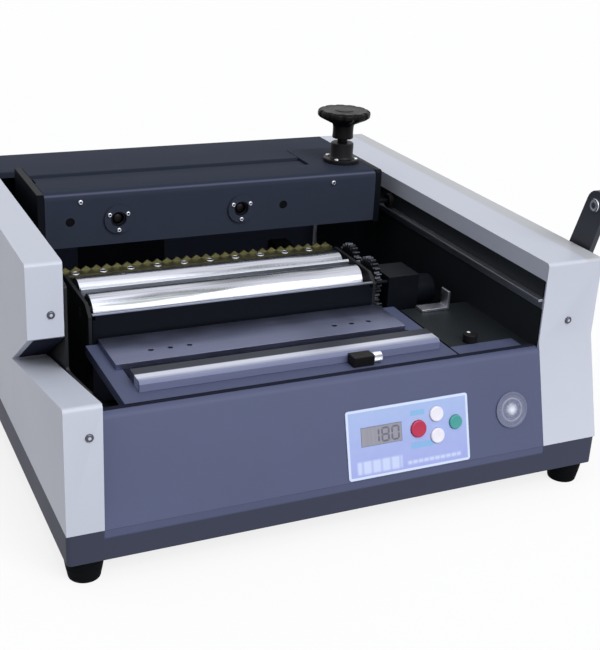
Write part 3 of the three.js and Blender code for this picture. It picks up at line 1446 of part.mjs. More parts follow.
function addPressShaft() {
  const shaftLeft = leftFrameX - seatGap;
  const lever = new THREE.Group();
  machine.add(lever);
  const outline = camOutline();
  const cams = camPlaces.map((x) => prism('x', outline, x - camWidth / 2, x + camWidth / 2));
  const shaft = bar('x', [leverY, leverHeight], pressShaftRadius, shaftLeft, leverOuter + seatGap);
  place('press_shaft', finishes.brightSteel, join(shaft, ...cams), lever);
  const leverX = [leverOuter - leverThickness, leverOuter];
  const up = [-Math.sin(leverLean), Math.cos(leverLean)];
  const top = [leverY + leverLength * up[0], leverHeight + leverLength * up[1]];
  const lean = Math.PI / 2 + leverLean;
  const blade = [
    ...arc(top, leverWidth / 2, lean - Math.PI / 2, lean + Math.PI / 2, slimSides),
    ...arc([leverY, leverHeight], leverHubRadius, lean + Math.PI / 2, lean + Math.PI * 3 / 2, middleSides),
  ];
  const shaftHole = bar('x', [leverY, leverHeight], pressShaftRadius + holeGap, leverX[0] - overrun,
    leverX[1] + overrun);
  const bolt = join(
    bar('x', top, gripBoltRadius, leverX[0] - gripBoltStand, leverX[0] + leverThickness / 2),
    bar('x', top, gripShankRadius, leverX[0], leverX[1] + gripShankLength));
  place('press_lever', finishes.blackSteel, join(cut(prism('x', blade, ...leverX), shaftHole), bolt), lever);
  const bore = gripShankRadius + holeGap;
  const grip = turned([
    [bore, 0],
    ...gripProfileShares.map(([wide, along]) => [gripRadius * wide, gripLength * along]),
    [0, gripLength],
    [0, gripShankLength + holeGap],
    [bore, gripShankLength + holeGap],
    [bore, 0],
  ], [0, 0]).rotate([0, 90, 0]).translate([leverX[1] + seatGap, ...top]);
  place('lever_grip', finishes.blackPlastic, grip, lever);
}

addFeet();
addBasePan();
addFrontPanel();
addControls();
addSideCovers();
addRearCover();
addSideFrames();
addRail();
addCarriage();
addKnob();
addGlueUnit();
addTable();
addStop();
addShelfFittings();
addPressShaft();

export default machine;
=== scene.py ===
import json
import math

import bmesh
import bpy
import numpy as np
from mathutils import Matrix, Vector


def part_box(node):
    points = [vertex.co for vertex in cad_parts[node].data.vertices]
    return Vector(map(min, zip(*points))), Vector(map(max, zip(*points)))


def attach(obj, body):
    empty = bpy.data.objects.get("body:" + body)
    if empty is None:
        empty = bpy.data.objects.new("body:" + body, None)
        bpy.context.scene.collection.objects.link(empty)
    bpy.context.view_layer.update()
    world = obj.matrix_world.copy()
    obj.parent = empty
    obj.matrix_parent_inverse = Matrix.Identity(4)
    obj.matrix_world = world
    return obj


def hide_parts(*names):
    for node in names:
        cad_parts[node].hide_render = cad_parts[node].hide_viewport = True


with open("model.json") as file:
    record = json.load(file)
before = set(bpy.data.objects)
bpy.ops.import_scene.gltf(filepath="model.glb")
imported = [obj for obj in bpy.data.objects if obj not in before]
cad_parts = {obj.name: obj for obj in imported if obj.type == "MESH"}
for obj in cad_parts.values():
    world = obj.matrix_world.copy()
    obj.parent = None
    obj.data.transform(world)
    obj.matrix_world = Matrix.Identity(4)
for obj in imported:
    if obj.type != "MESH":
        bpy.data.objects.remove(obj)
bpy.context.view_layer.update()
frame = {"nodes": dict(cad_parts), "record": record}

print("stage: frame loaded")

# Places and sizes below are in millimetres. A piece's mesh is turned to metres when it is made
mm = 0.001
bodyOf = {node: body for body, nodes in frame["record"]["behaviour"]["bodies"].items() for node in nodes}
slotOf = {row["node"]: row["material_slot"] for row in frame["record"]["subparts"]}

# The front panel leans back: its rise runs up the slope and its lift straight out of the face
panel = {"foot": (0.0, -301.35, 58.0), "setback": 31.0, "height": 105.0}
panelLean = math.atan(panel["setback"] / panel["height"])
panelRise = np.array([0.0, math.sin(panelLean), math.cos(panelLean)])
panelLift = np.array([0.0, -math.cos(panelLean), math.sin(panelLean)])


def onPanel(x, rise, lift=0.0):
    # Foot of the slope + x along the machine + rise up the slope + lift out of the face
    return np.array(panel["foot"]) + [x, 0, 0] + panelRise * rise + panelLift * lift


class Wire:
    # One output of a node. Sums and products of single values add Math nodes
    def __init__(self, nodes, node, output=0):
        self.nodes = nodes
        self.node = node
        self.socket = node.outputs[output] if len(node.outputs) else None

    def maths(self, operation, *values, clamp=False):
        settings = {"operation": operation, "use_clamp": clamp}
        return self.nodes.add("Math", settings, dict(enumerate(values)))

    def __add__(self, other):
        return self.maths("ADD", self, other)

    __radd__ = __add__

    def __sub__(self, other):
        return self.maths("SUBTRACT", self, other)

    def __rsub__(self, other):
        return self.maths("SUBTRACT", other, self)

    def __mul__(self, other):
        return self.maths("MULTIPLY", self, other)

    __rmul__ = __mul__

    def __truediv__(self, other):
        return self.maths("DIVIDE", self, other)

    def __rtruediv__(self, other):
        return self.maths("DIVIDE", other, self)

    def __abs__(self):
        return self.maths("ABSOLUTE", self)

    def held(self):
        # Kept between 0 and 1
        return self.maths("ADD", self, 0.0, clamp=True)

    def root(self):
        return self.maths("POWER", self, 0.5)

    def sine(self):
        return self.maths("SINE", self)

    def larger(self, other):
        return self.maths("MAXIMUM", self, other)


def tint(red, green, blue):
    # Written as on screen, 0 to 255, and turned into the linear colour that a shader takes
    share = np.array([red, green, blue]) / 255
    linear = np.where(share <= 0.04045, share / 12.92, ((share + 0.055) / 1.055) ** 2.4)
    return (*linear.tolist(), 1.0)


def shaded(colour, factor):
    # The colour times the factor, held below 1
    return (*[min(value * factor, 1.0) for value in colour[:3]], 1.0)


class Nodes:
    # The nodes of one material or world
    def __init__(self, tree):
        self.tree = tree
        self.tree.nodes.clear()

    def add(self, kind, settings, inputs, output=0):
        # The settings come first, then a value or a link for each named or numbered input
        node = self.tree.nodes.new("ShaderNode" + kind)
        for key, value in settings.items():
            setattr(node, key, value)
        for key, value in inputs.items():
            if isinstance(value, Wire):
                self.tree.links.new(value.socket, node.inputs[key])
            else:
                node.inputs[key].default_value = value
        return Wire(self, node, output)

    def seen(self):
        # 1 for what the camera sees itself, in a mirror surface or through glass
        straight, mirrored, through = [self.add("LightPath", {}, {}, f"Is {kind} Ray")
                                       for kind in ("Camera", "Glossy", "Transmission")]
        return straight.larger(mirrored.larger(through))


class Finish(Nodes):
    # A material with one Principled shader. Constants are set on the shader's own sockets
    def __init__(self, name, base, roughness, metallic=0.0, **constants):
        self.material = bpy.data.materials.new(name)
        self.material.use_nodes = True
        self.material.diffuse_color = base
        super().__init__(self.material.node_tree)
        values = {"Base Color": base, "Roughness": roughness, "Metallic": metallic}
        values.update({key.replace("_", " "): value for key, value in constants.items()})
        self.shader = self.add("BsdfPrincipled", {}, values)
        self.end = self.add("OutputMaterial", {}, {"Surface": self.shader})
        self.coords = self.add("TexCoord", {}, {}, "Object")

    def feed(self, socketName, wire):
        self.tree.links.new(wire.socket, self.shader.node.inputs[socketName])

    def axes(self):
        # Place along x, y and z in millimetres
        split = self.add("SeparateXYZ", {}, {0: self.coords})
        return [Wire(self, split.node, axis) / mm for axis in range(3)]

    def panelAxes(self, x=0.0, rise=0.0):
        # Distance along the panel and up its slope from a place on it
        place = onPanel(x, rise).tolist()
        along, depth, height = self.axes()
        up = (depth - place[1]) * float(panelRise[1]) + (height - place[2]) * float(panelRise[2])
        return along - place[0], up

    def noise(self, scale, detail=3.0, vector=None):
        inputs = {"Vector": vector or self.coords, "Scale": scale, "Detail": detail, "Roughness": 0.55}
        return self.add("TexNoise", {}, inputs, "Fac")

    def streaks(self, scale, detail=4.0):
        # Noise drawn out along the axis whose scale is smallest
        return self.noise(1.0, detail, self.add("Mapping", {}, {"Vector": self.coords, "Scale": scale}))

    def cells(self, scale, feature="F1"):
        inputs = {"Vector": self.coords, "Scale": scale}
        return self.add("TexVoronoi", {"feature": feature}, inputs, "Distance")

    def blend(self, factor, first, second):
        return self.add("Mix", {"data_type": "RGBA"}, {0: factor, 6: first, 7: second}, 2)

    def shades(self, factor, colour, low, high):
        # From the colour times low to the colour times high
        return self.blend(factor, shaded(colour, low), shaded(colour, high))

    def dressed(self, colour, gloss, height=None, strength=0.0, distance=0.0002):
        # Feeds the colour, the roughness and, where a height is given, the bump
        self.feed("Base Color", colour)
        self.feed("Roughness", gloss)
        if height is not None:
            inputs = {"Height": height, "Strength": strength, "Distance": distance}
            self.feed("Normal", self.add("Bump", {}, inputs))
        return self

    def inside(self, region, soft):
        # 1 within the limits along each axis, falling to 0 over the soft width inside them
        axes = self.axes()
        share = None
        for axis, (low, high) in region.items():
            both = ((axes[axis] - low) / soft).held() * ((high - axes[axis]) / soft).held()
            share = both if share is None else share * both
        return share


def tableOf(columns, **rows):
    # One dictionary of values for each name, read across the columns
    return {name: dict(zip(columns.split(), values)) for name, values in rows.items()}


# Baked powder paint: a faint orange peel, a slow drift of shade and gloss, and a few specks of dust.
# A second colour may cover a region, given by its limits along x, y and z. On the right cover it is painted
# shade, and on the carriage a painted highlight
pale, dark, slate = (195, 199, 213), (48, 53, 67), (83, 89, 117)
paints = tableOf(
    "colour roughness drift peel shine second region soft",
    light_paint=(pale, 0.42, 0.035, 0.05, 0.4),
    # The greyer outer part of the right cover's top is painted shade, where its rounded edge turns away from
    # the light
    banded_light=(pale, 0.42, 0.035, 0.05, 0.4, (183, 185, 190), {0: (222, 300), 2: (252, 300)}, 5.0),
    slate_paint=(slate, 0.5, 0.07, 0.08, 0.16),
    dark_paint=(dark, 0.55, 0.10, 0.08, 0.015),
    # The paler band along the carriage's front top bend is a painted highlight
    carriage_paint=(dark, 0.55, 0.10, 0.08, 0.015, (82, 87, 108), {1: (48.5, 54.5), 2: (270.5, 277)}, 1.5),
    jaw_paint=(dark, 0.55, 0.10, 0.08, 0.015, (18, 18, 21), {1: (0, 70)}, 1.0),
    # Near black for the parts deep inside the machine (tank, heater plate, gear motor, carriage ends): partly
    # their own dark finish, partly painted shade of the bay
    tank_black=((15, 18, 24), 0.42, 0.14, 0.08, 0.05),
    pan_paint=((60, 63, 80), 0.52, 0.08, 0.08, 0.14,
               slate, {0: (-316, 176), 1: (-400, -290), 2: (48.5, 100)}, 2.0),
    black_steel=((27, 29, 32), 0.45, 0.16, 0.10, 0.2),
    shelf_paint=((30, 34, 38), 0.42, 0.16, 0.10, 0.2,
                 slate, {0: (80, 168), 1: (-300, -229), 2: (150, 159)}, 1.0),
    lever_paint=((48, 51, 60), 0.42, 0.12, 0.08, 0.3),
)
paintLook = {"driftScale": 9.0, "peelScale": 750.0, "peelDepth": 0.0004, "glossDrift": 0.16,
             "glossGrain": 0.05, "dustScale": 160.0, "dustFrom": 0.62, "dustRise": 6.0, "dustShare": 0.12,
             "dustShade": 1.25}


def powderPaint(name, colour, roughness, drift, peel, shine, second=None, region=None, soft=1.0):
    look = paintLook
    base = tint(*colour)
    finish = Finish(name, base, roughness, Specular_IOR_Level=shine)
    slow = finish.noise(look["driftScale"])
    fine = finish.noise(look["peelScale"], 2.0)
    dust = ((finish.noise(look["dustScale"], 4.0) - look["dustFrom"]) * look["dustRise"]).held()
    shade = finish.shades(slow, base, 1 - drift, 1 + drift)
    if second:
        other = finish.shades(slow, tint(*second), 1 - drift, 1 + drift)
        shade = finish.blend(finish.inside(region, soft), shade, other)
    shade = finish.blend(dust * look["dustShare"], shade, shaded(base, look["dustShade"]))
    gloss = (slow - 0.5) * look["glossDrift"] + fine * look["glossGrain"]
    return finish.dressed(shade, gloss + (roughness - look["glossGrain"] / 2), fine, peel, look["peelDepth"])


# Ground or drawn metal: fine streaks along one direction, with smudges that change the gloss
metals = tableOf(
    "colour roughness along streak",
    bright_steel=((214, 217, 226), 0.24, (14, 900, 900), 0.10),
    blue_steel=((134, 139, 168), 0.36, (10, 700, 700), 0.14),
    brass=((112, 110, 82), 0.42, (30, 260, 260), 0.25),
    aluminium=((150, 154, 162), 0.38, (12, 600, 600), 0.14),
    gear_steel=((62, 64, 70), 0.42, (160, 160, 160), 0.3),
    oiled_steel=((30, 30, 33), 0.4, (60, 400, 400), 0.25),
    screw_steel=((206, 209, 218), 0.3, (220, 220, 220), 0.12),
    dark_screw=((88, 90, 99), 0.36, (260, 260, 260), 0.2),
)
metalLook = {"smudgeScale": 26.0, "streakGloss": 0.14, "smudgeGloss": 0.18, "bump": 0.06}


def streakedMetal(name, colour, roughness, along, streak):
    base = tint(*colour)
    finish = Finish(name, base, roughness, 1.0)
    streaks = finish.streaks(along)
    smudge = finish.noise(metalLook["smudgeScale"])
    shade = finish.shades(streaks, base, 1 - streak, 1 + streak)
    gloss = (streaks - 0.5) * metalLook["streakGloss"] + (smudge - 0.5) * metalLook["smudgeGloss"] + roughness
    return finish.dressed(shade, gloss, streaks, metalLook["bump"])


# Glue rollers: bright steel, with long grey bands round the drum and thin pale lines, both painted reflection
# and shade. The steel is rougher in the bands
# The film colour is the grey of the painted reflection bands, and pale is the colour of the thin painted
# reflection lines
bands = {"bright": (204, 206, 217), "film": (92, 95, 94), "pale": (150, 154, 170), "roughness": 0.24,
         "broad": (3.0, 62, 62), "filmFrom": 0.45, "reflectionBandRise": 7.0, "reflectionBandDull": 1.2, "reflectionBandGloss": 0.4,
         "thin": (9.0, 420, 420), "paleFrom": 0.47, "paleRise": 4.0, "paleShare": 0.7,
         "rings": (700, 12, 12), "ringGloss": 0.1, "gloss": 0.18, "bump": 0.05}


def paintedReflectionRoller(name):
    finish = Finish(name, tint(*bands["bright"]), bands["roughness"], 1.0)
    broad = finish.streaks(bands["broad"], 3.0) - bands["filmFrom"]
    thin = finish.streaks(bands["thin"]) - bands["paleFrom"]
    rings = finish.streaks(bands["rings"], 2.0)
    # Painted reflection and shade: grey bands and pale lines over the bright steel
    body = finish.blend((broad * bands["reflectionBandRise"]).held(), tint(*bands["bright"]), tint(*bands["film"]))
    lines = (thin * bands["paleRise"]).held() * bands["paleShare"]
    shade = finish.blend(lines, body, tint(*bands["pale"]))
    dull = (broad * bands["reflectionBandDull"]).held() * bands["reflectionBandGloss"]
    return finish.dressed(shade, rings * bands["ringGloss"] + dull + bands["gloss"], rings, bands["bump"])


# Nip bar: painted light on its top. Along its back is a strip of painted shade, and beside it a bright line
# of painted highlight, metallic only there. Then a paler painted sheen fades to the bar's slate blue towards
# the front.
# The edge, the highlight line and the front are places along y
# The dull colour is painted shade, the bright one painted highlight, and the lilac one painted sheen
barShades = {"dull": (30, 34, 49), "bright": (226, 230, 246), "lilac": (122, 128, 160), "blue": (80, 86, 113),
             "edge": -212.5, "fade": 2.0, "line": -225.5, "highlightFade": 8.0, "highlightRagged": 4.0,
             "front": -234.0, "frontFade": 9.0, "frontRagged": 3.0, "roughness": 0.34, "shine": 0.3,
             "along": (10, 700, 700), "streakGloss": 0.12, "gloss": 0.26, "bump": 0.06}


def paintedLightBar(name):
    bar = barShades
    finish = Finish(name, tint(*bar["blue"]), bar["roughness"], Specular_IOR_Level=bar["shine"])
    depth = finish.axes()[1]
    streaks = finish.streaks(bar["along"])
    # Painted shade along the back, a painted highlight line beside it, and a painted sheen behind the front
    back = ((depth - bar["edge"]) / bar["fade"] + 0.5).held()
    line = ((depth - bar["line"] + streaks * bar["highlightRagged"]) / bar["highlightFade"]).held() * (1 - back)
    front = ((depth - bar["front"] + streaks * bar["frontRagged"]) / bar["frontFade"]).held()
    body = finish.blend(front, tint(*bar["blue"]), tint(*bar["lilac"]))
    body = finish.blend(line, body, tint(*bar["bright"]))
    finish.feed("Metallic", line)
    shade = finish.blend(back, body, tint(*bar["dull"]))
    return finish.dressed(shade, streaks * bar["streakGloss"] + bar["gloss"], streaks, bar["bump"])


# Round badge: slate like the panel, with one paler ring and a few bright specks, and polished in the middle
badge = {"x": 135.85, "rise": 46.5, "slate": (100, 105, 131), "bright": (222, 226, 240), "roughness": 0.34,
         "shine": 0.4, "cloudScale": 260.0, "cloudShade": 0.08, "middle": 6.0, "soft": 7.0, "ragged": 4.0,
         "speckScale": 1300.0, "speckFrom": 0.52, "speckRise": 9.0, "speckReach": 24.0, "speckShare": 0.35,
         "ring": 12.2, "ringHalf": 1.4, "ringShare": 0.18, "cloudGloss": 0.15, "gloss": 0.28, "bump": 0.04}


def badgeMetal(name):
    base, bright = tint(*badge["slate"]), tint(*badge["bright"])
    finish = Finish(name, base, badge["roughness"], Specular_IOR_Level=badge["shine"])
    across, rise = finish.panelAxes(badge["x"], badge["rise"])
    reach = (across * across + rise * rise).root()
    cloud = finish.noise(badge["cloudScale"])
    middle = ((badge["middle"] - reach + cloud * badge["ragged"]) / badge["soft"]).held()
    speck = ((finish.noise(badge["speckScale"], 2.0) - badge["speckFrom"]) * badge["speckRise"]).held()
    speck = speck * (1 - reach / badge["speckReach"]).held()
    ring = (badge["ringHalf"] - abs(reach - badge["ring"])).held()
    marks = (ring * badge["ringShare"] + speck * badge["speckShare"]).held()
    field = finish.shades(cloud, base, 1 - badge["cloudShade"], 1 + badge["cloudShade"])
    shade = finish.blend(middle, finish.blend(marks, field, bright), bright)
    return finish.dressed(shade, cloud * badge["cloudGloss"] + badge["gloss"], cloud, badge["bump"])


# Moulded plastic and rubber: a fine leather grain from cell edges, worn smoother in places
moulded = tableOf(
    "colour roughness grain depth shine",
    black_plastic=((17, 17, 19), 0.42, 900.0, 0.12, 0.15),
    rubber=((12, 14, 16), 0.75, 420.0, 0.2, 0.03),
    knob_plastic=((12, 12, 13), 0.36, 1300.0, 0.07, 0.09),
    gauze=((17, 19, 25), 0.9, 1400.0, 0.5, 0.05),
    # A near-black sheet, used for the strips of painted shade in dark gaps
    felt=((30, 32, 46), 0.95, 1100.0, 0.4, 0.05),
)
mouldedLook = {"wearScale": 32.0, "low": 0.8, "high": 1.5, "wearGloss": -0.2, "grainGloss": 0.08,
               "drop": 0.03, "grainDepth": 0.0003}


def mouldedPlastic(name, colour, roughness, grain, depth, shine):
    look = mouldedLook
    base = tint(*colour)
    finish = Finish(name, base, roughness, Specular_IOR_Level=shine)
    cells = finish.cells(grain)
    wear = finish.noise(look["wearScale"], 4.0)
    gloss = (wear - 0.5) * look["wearGloss"] + cells * look["grainGloss"] + (roughness - look["drop"])
    shade = finish.shades(wear, base, look["low"], look["high"])
    return finish.dressed(shade, gloss, cells, depth, look["grainDepth"])


# Push buttons and the dial's dot: glossy caps, a little cloudy
caps = {"red_plastic": (176, 34, 72), "white_plastic": (230, 226, 238), "green_plastic": (62, 150, 146),
        "dial_dot": (232, 234, 238)}
capLook = {"roughness": 0.3, "index": 1.48, "cloudScale": 240.0, "cloudShade": 0.08, "cloudGloss": 0.15,
           "grainScale": 2200.0, "bump": 0.03}


def buttonPlastic(name, colour):
    look = capLook
    base = tint(*colour)
    finish = Finish(name, base, look["roughness"], IOR=look["index"])
    cloud = finish.noise(look["cloudScale"])
    shade = finish.shades(cloud, base, 1 - look["cloudShade"], 1 + look["cloudShade"])
    gloss = (cloud - 0.5) * look["cloudGloss"] + look["roughness"]
    return finish.dressed(shade, gloss, finish.noise(look["grainScale"], 2.0), look["bump"])


# Control film: pale blue, with a light border, plain label blocks and rows of plain bars.
# A block is its middle and half size, along and up the slope, and a strip has the bars' pitch besides
film = {
    "left": -62.15, "right": 80.85, "foot": 1.5, "top": 73.5, "border": 2.4, "borderSoft": 0.5,
    "upper": (156, 177, 222), "lower": (150, 158, 220), "light": (206, 218, 244), "patch": (118, 176, 218),
    "blocks": [(20.0, 61.0, 8.5, 3.2), (24.0, 27.0, 13.5, 3.6)], "blockSoft": 0.8, "blockShare": 0.75,
    "strips": [(-26.0, 13.0, 27.0, 7.8, 10.8), (38.0, 10.0, 33.0, 3.0, 6.6)], "stripSoft": 2.5,
    "waveLift": 1.4, "cloudScale": 60.0, "cloudShare": 0.2, "cloudGloss": 0.08, "gloss": 0.3,
    "grainScale": 1600.0, "bump": 0.03, "roughness": 0.34,
}


def controlFilm(name):
    light = tint(*film["light"])
    finish = Finish(name, tint(*film["upper"]), film["roughness"])
    across, rise = finish.panelAxes()

    def rectangle(middleX, middleRise, halfWidth, halfRise, soft):
        # 1 within the half sizes from the middle, falling to 0 over the soft width
        sides = ((halfWidth - abs(across - middleX)) / soft).held()
        ends = ((halfRise - abs(rise - middleRise)) / soft).held()
        return sides * ends

    middle = (film["left"] + film["right"]) / 2, (film["foot"] + film["top"]) / 2
    half = [side / 2 - film["border"] for side in (film["right"] - film["left"], film["top"] - film["foot"])]
    inner = rectangle(*middle, *half, film["borderSoft"])
    slope = ((rise - film["foot"]) / (film["top"] - film["foot"])).held()
    cloud = finish.noise(film["cloudScale"])
    field = finish.blend(slope, tint(*film["lower"]), tint(*film["upper"]))
    field = finish.blend(cloud * film["cloudShare"], field, light)
    for block in film["blocks"]:
        patch = rectangle(*block, film["blockSoft"]) * film["blockShare"]
        field = finish.blend(patch, field, tint(*film["patch"]))
    for *strip, pitch in film["strips"]:
        bars = ((across * (2 * math.pi / pitch)).sine() + film["waveLift"]).held()
        row = rectangle(*strip, film["stripSoft"]) * bars * film["blockShare"]
        field = finish.blend(row, field, light)
    shade = finish.blend(inner, light, field)
    gloss = cloud * film["cloudGloss"] + film["gloss"]
    return finish.dressed(shade, gloss, finish.noise(film["grainScale"], 2.0), film["bump"])


# Display: a grey liquid crystal window whose backing is a little uneven, and its dark digits
display = {"window": (146, 146, 158), "roughness": 0.12, "index": 1.5, "lines": (420, 8, 8), "low": 0.86,
           "high": 1.1, "cloudScale": 40.0, "cloudGloss": 0.06, "gloss": 0.09,
           "ink": (96, 94, 112), "inkRoughness": 0.4, "inkScale": 300.0, "inkLow": 0.85, "inkHigh": 1.15}


def displayGlass(name):
    base = tint(*display["window"])
    finish = Finish(name, base, display["roughness"], IOR=display["index"])
    shade = finish.shades(finish.streaks(display["lines"], 2.0), base, display["low"], display["high"])
    cloud = finish.noise(display["cloudScale"])
    return finish.dressed(shade, cloud * display["cloudGloss"] + display["gloss"])


def displayInk(name):
    base = tint(*display["ink"])
    finish = Finish(name, base, display["inkRoughness"])
    cloud = finish.noise(display["inkScale"])
    finish.feed("Base Color", finish.shades(cloud, base, display["inkLow"], display["inkHigh"]))
    return finish


# Circuit board: green lacquer over copper tracks
lacquer = {"colour": (38, 96, 62), "track": (86, 138, 84), "roughness": 0.35, "trackScale": 320.0,
           "trackFrom": 0.1, "trackRise": 12.0, "cloudScale": 80.0, "cloudGloss": 0.2, "gloss": 0.28,
           "bump": 0.15}


def circuitLacquer(name):
    base = tint(*lacquer["colour"])
    finish = Finish(name, base, lacquer["roughness"])
    cells = finish.cells(lacquer["trackScale"], "DISTANCE_TO_EDGE")
    tracks = ((cells - lacquer["trackFrom"]) * lacquer["trackRise"]).held()
    gloss = finish.noise(lacquer["cloudScale"]) * lacquer["cloudGloss"] + lacquer["gloss"]
    return finish.dressed(finish.blend(tracks, tint(*lacquer["track"]), base), gloss, tracks, lacquer["bump"])


tables = ((powderPaint, paints), (streakedMetal, metals), (mouldedPlastic, moulded))
oneOff = {"ground_roller": paintedReflectionRoller, "ground_bar": paintedLightBar, "emblem_metal": badgeMetal,
          "overlay_film": controlFilm, "display_window": displayGlass, "display_ink": displayInk,
          "circuit_board": circuitLacquer}
finishes = {name: make(name, **values) for make, table in tables for name, values in table.items()}
finishes.update({name: buttonPlastic(name, colour) for name, colour in caps.items()})
finishes.update({name: make(name) for name, make in oneOff.items()})

# Solids whose finish differs from the plain one of their slot
ownFinish = {
    "right_cover": "banded_light", "right_side_frame": "shelf_paint", "carriage_housing": "carriage_paint",
    "carriage_end_left": "tank_black", "carriage_end_right": "tank_black", "front_jaw": "jaw_paint",
    "glue_tank": "tank_black", "heater_plate": "tank_black", "gear_motor": "tank_black",
    "main_gear": "gear_steel", "rear_gear": "gear_steel", "motor_pinion": "gear_steel",
    "cross_shaft": "oiled_steel", "press_shaft": "oiled_steel", "press_lever": "lever_paint",
    "nip_bar": "ground_bar", "angle_bracket": "screw_steel",
}


def finishOf(node):
    return finishes[ownFinish.get(node, slotOf[node])].material


print("stage: finishes made", len(finishes))


def roundedProfile(points, radii, steps=4):
    # Each corner is replaced by a curve that leaves one side and joins the next:
    # (1 - t)^2 start + 2 t (1 - t) corner + t^2 end, for t from 0 to 1
    points = np.asarray(points, float)
    t = np.linspace(0, 1, steps + 1)[:, None]
    rows = [points[:1]]
    for before, corner, after, radius in zip(points, points[1:], points[2:], radii[1:]):
        back, ahead = before - corner, after - corner
        reach = min(radius, 0.48 * np.linalg.norm(back), 0.48 * np.linalg.norm(ahead))
        start = corner + back / np.linalg.norm(back) * reach
        end = corner + ahead / np.linalg.norm(ahead) * reach
        rows.append((1 - t) ** 2 * start + 2 * t * (1 - t) * corner + t ** 2 * end)
    rows.append(points[-1:])
    return np.vstack(rows)


def turnedSheet(profile, steps, ripple=None):
    # Point (k, a) = (r cos a, r sin a, h), where row k of the profile gives radius r and height h.
    # The ripple is added to the radius at each height and angle
    profile = np.asarray(profile, float)
    angles = np.linspace(0, 2 * np.pi, steps, endpoint=False)
    radius = np.repeat(profile[:, :1], steps, axis=1)
    height = np.repeat(profile[:, 1:2], steps, axis=1)
    if ripple is not None:
        radius = radius + ripple(radius, height, angles[None, :])
    return np.stack([radius * np.cos(angles), radius * np.sin(angles), height], axis=-1)


def plateSheet(outline, thickness, rim):
    # Rows of one outline at growing heights. Towards both faces each row is drawn in:
    # row point = middle + (outline - middle) * (1 - draw / size), so the edge is rounded by the rim
    middle = outline.mean(axis=0)
    size = np.abs(outline - middle).max()
    t = np.linspace(0, np.pi / 2, 4)
    draw = np.concatenate([rim * (1 - np.sin(t)), rim * (1 - np.cos(t))])
    height = np.concatenate([rim * (1 - np.cos(t)), thickness - rim * (1 - np.sin(t))])
    flat = middle + (outline - middle)[None] * (1 - draw[:, None, None] / size)
    return np.concatenate([flat, np.repeat(height[:, None, None], len(outline), axis=1)], axis=-1)


def standing(sheet, origin, along, sideways=None):
    # Carries a sheet from its own axes to the machine's: origin + x side + y across + h along
    along = np.asarray(along, float)
    if sideways is None:
        sideways = (1, 0, 0) if abs(along[0]) < 0.9 else (0, 1, 0)
    side = sideways - along * along.dot(sideways)
    side = side / np.linalg.norm(side)
    return np.asarray(origin, float) + sheet @ np.stack([side, np.cross(along, side), along])


def ringFaces(rows, columns, start, closed):
    # Quads between neighbouring rows, each row a ring. A closed sheet joins its last row to its
    # first, and any other gets a face on both end rows
    last = rows if closed else rows - 1
    row, column = np.meshgrid(np.arange(last), np.arange(columns), indexing="ij")
    beyond, above = (column + 1) % columns, (row + 1) % rows
    quads = np.stack([row * columns + column, row * columns + beyond,
                      above * columns + beyond, above * columns + column], axis=-1)
    faces = (quads.reshape(-1, 4) + start).tolist()
    if not closed:
        faces.append((np.arange(columns)[::-1] + start).tolist())
        faces.append((np.arange(columns) + (rows - 1) * columns + start).tolist())
    return faces


smallest = {"gap": 1e-7, "area": 1e-14}


def placeObject(name, mesh, material, sharp, body, replaces=(), slot=None):
    # Smooth but for edges over the angle, tied to its body, and the solids it stands for are hidden
    mesh.shade_smooth()
    mesh.set_sharp_from_angle(angle=math.radians(sharp))
    mesh.materials.clear()
    mesh.materials.append(material)
    piece = bpy.data.objects.new(name, mesh)
    bpy.context.scene.collection.objects.link(piece)
    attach(piece, body)
    if replaces:
        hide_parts(*replaces)
    return piece


def addPiece(name, sheets, finish, body, closed=False, sharp=32, **ties):
    # One mesh of ring surfaces. Doubles at the poles are merged and faces turned outwards
    points, faces, start = [], [], 0
    for sheet in sheets:
        rows, columns = sheet.shape[:2]
        points.append(sheet.reshape(-1, 3) * mm)
        faces += ringFaces(rows, columns, start, closed)
        start += rows * columns
    mesh = bpy.data.meshes.new(name)
    mesh.from_pydata(np.vstack(points).tolist(), [], faces)
    work = bmesh.new()
    work.from_mesh(mesh)
    bmesh.ops.remove_doubles(work, verts=work.verts, dist=smallest["gap"])
    empty = [face for face in work.faces if face.calc_area() < smallest["area"]]
    bmesh.ops.delete(work, geom=empty, context="FACES_ONLY")
    bmesh.ops.recalc_face_normals(work, faces=work.faces)
    work.to_mesh(mesh)
    work.free()
    placeObject(name, mesh, finishes[finish].material, sharp, body, **ties)


def addTurned(name, profile, steps, place, along, finish, body, ripple=None, **ties):
    addPiece(name, [standing(turnedSheet(profile, steps, ripple), place, along)], finish, body, **ties)


def boxOf(node):
    # Lowest and highest corner of a solid
    return [np.array(corner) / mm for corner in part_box(node)]


def middleOf(node):
    return sum(boxOf(node)) / 2


# Folded and milled pieces are merged copies of their solids, with cut edges eased by these widths
easedEdges = {
    "base_pan": 0.9, "front_panel": 0.7, "front_left_cover": 0.9, "rear_left_cover": 0.9, "right_cover": 0.9,
    "rear_cover": 0.8, "power_inlet": 0.4, "left_side_frame": 0.4, "right_side_frame": 0.4, "right_rail": 0.4,
    "carriage_housing": 0.7, "front_jaw": 0.6, "rear_jaw": 0.9, "carriage_end_left": 0.6,
    "carriage_end_right": 0.6, "glue_end_left": 0.4, "glue_end_right": 0.4, "glue_tank": 0.5, "glue_lip": 0.3,
    "doctor_blade": 0.3, "heater_plate": 0.5, "notch_cutter": 0.25, "main_gear": 0.25, "rear_gear": 0.25,
    "motor_pinion": 0.2, "gear_motor": 0.8, "nip_table": 0.7, "nip_plate": 0.5, "nip_bar": 0.2,
    "side_stop": 0.8, "angle_bracket": 0.5, "press_shaft": 0.6, "press_lever": 0.9, "control_overlay": 0.2,
    "wheel_left_middle": 0.6, "wheel_right_front": 0.6, "wheel_right_rear": 0.6, "cross_shaft": 0.4,
}

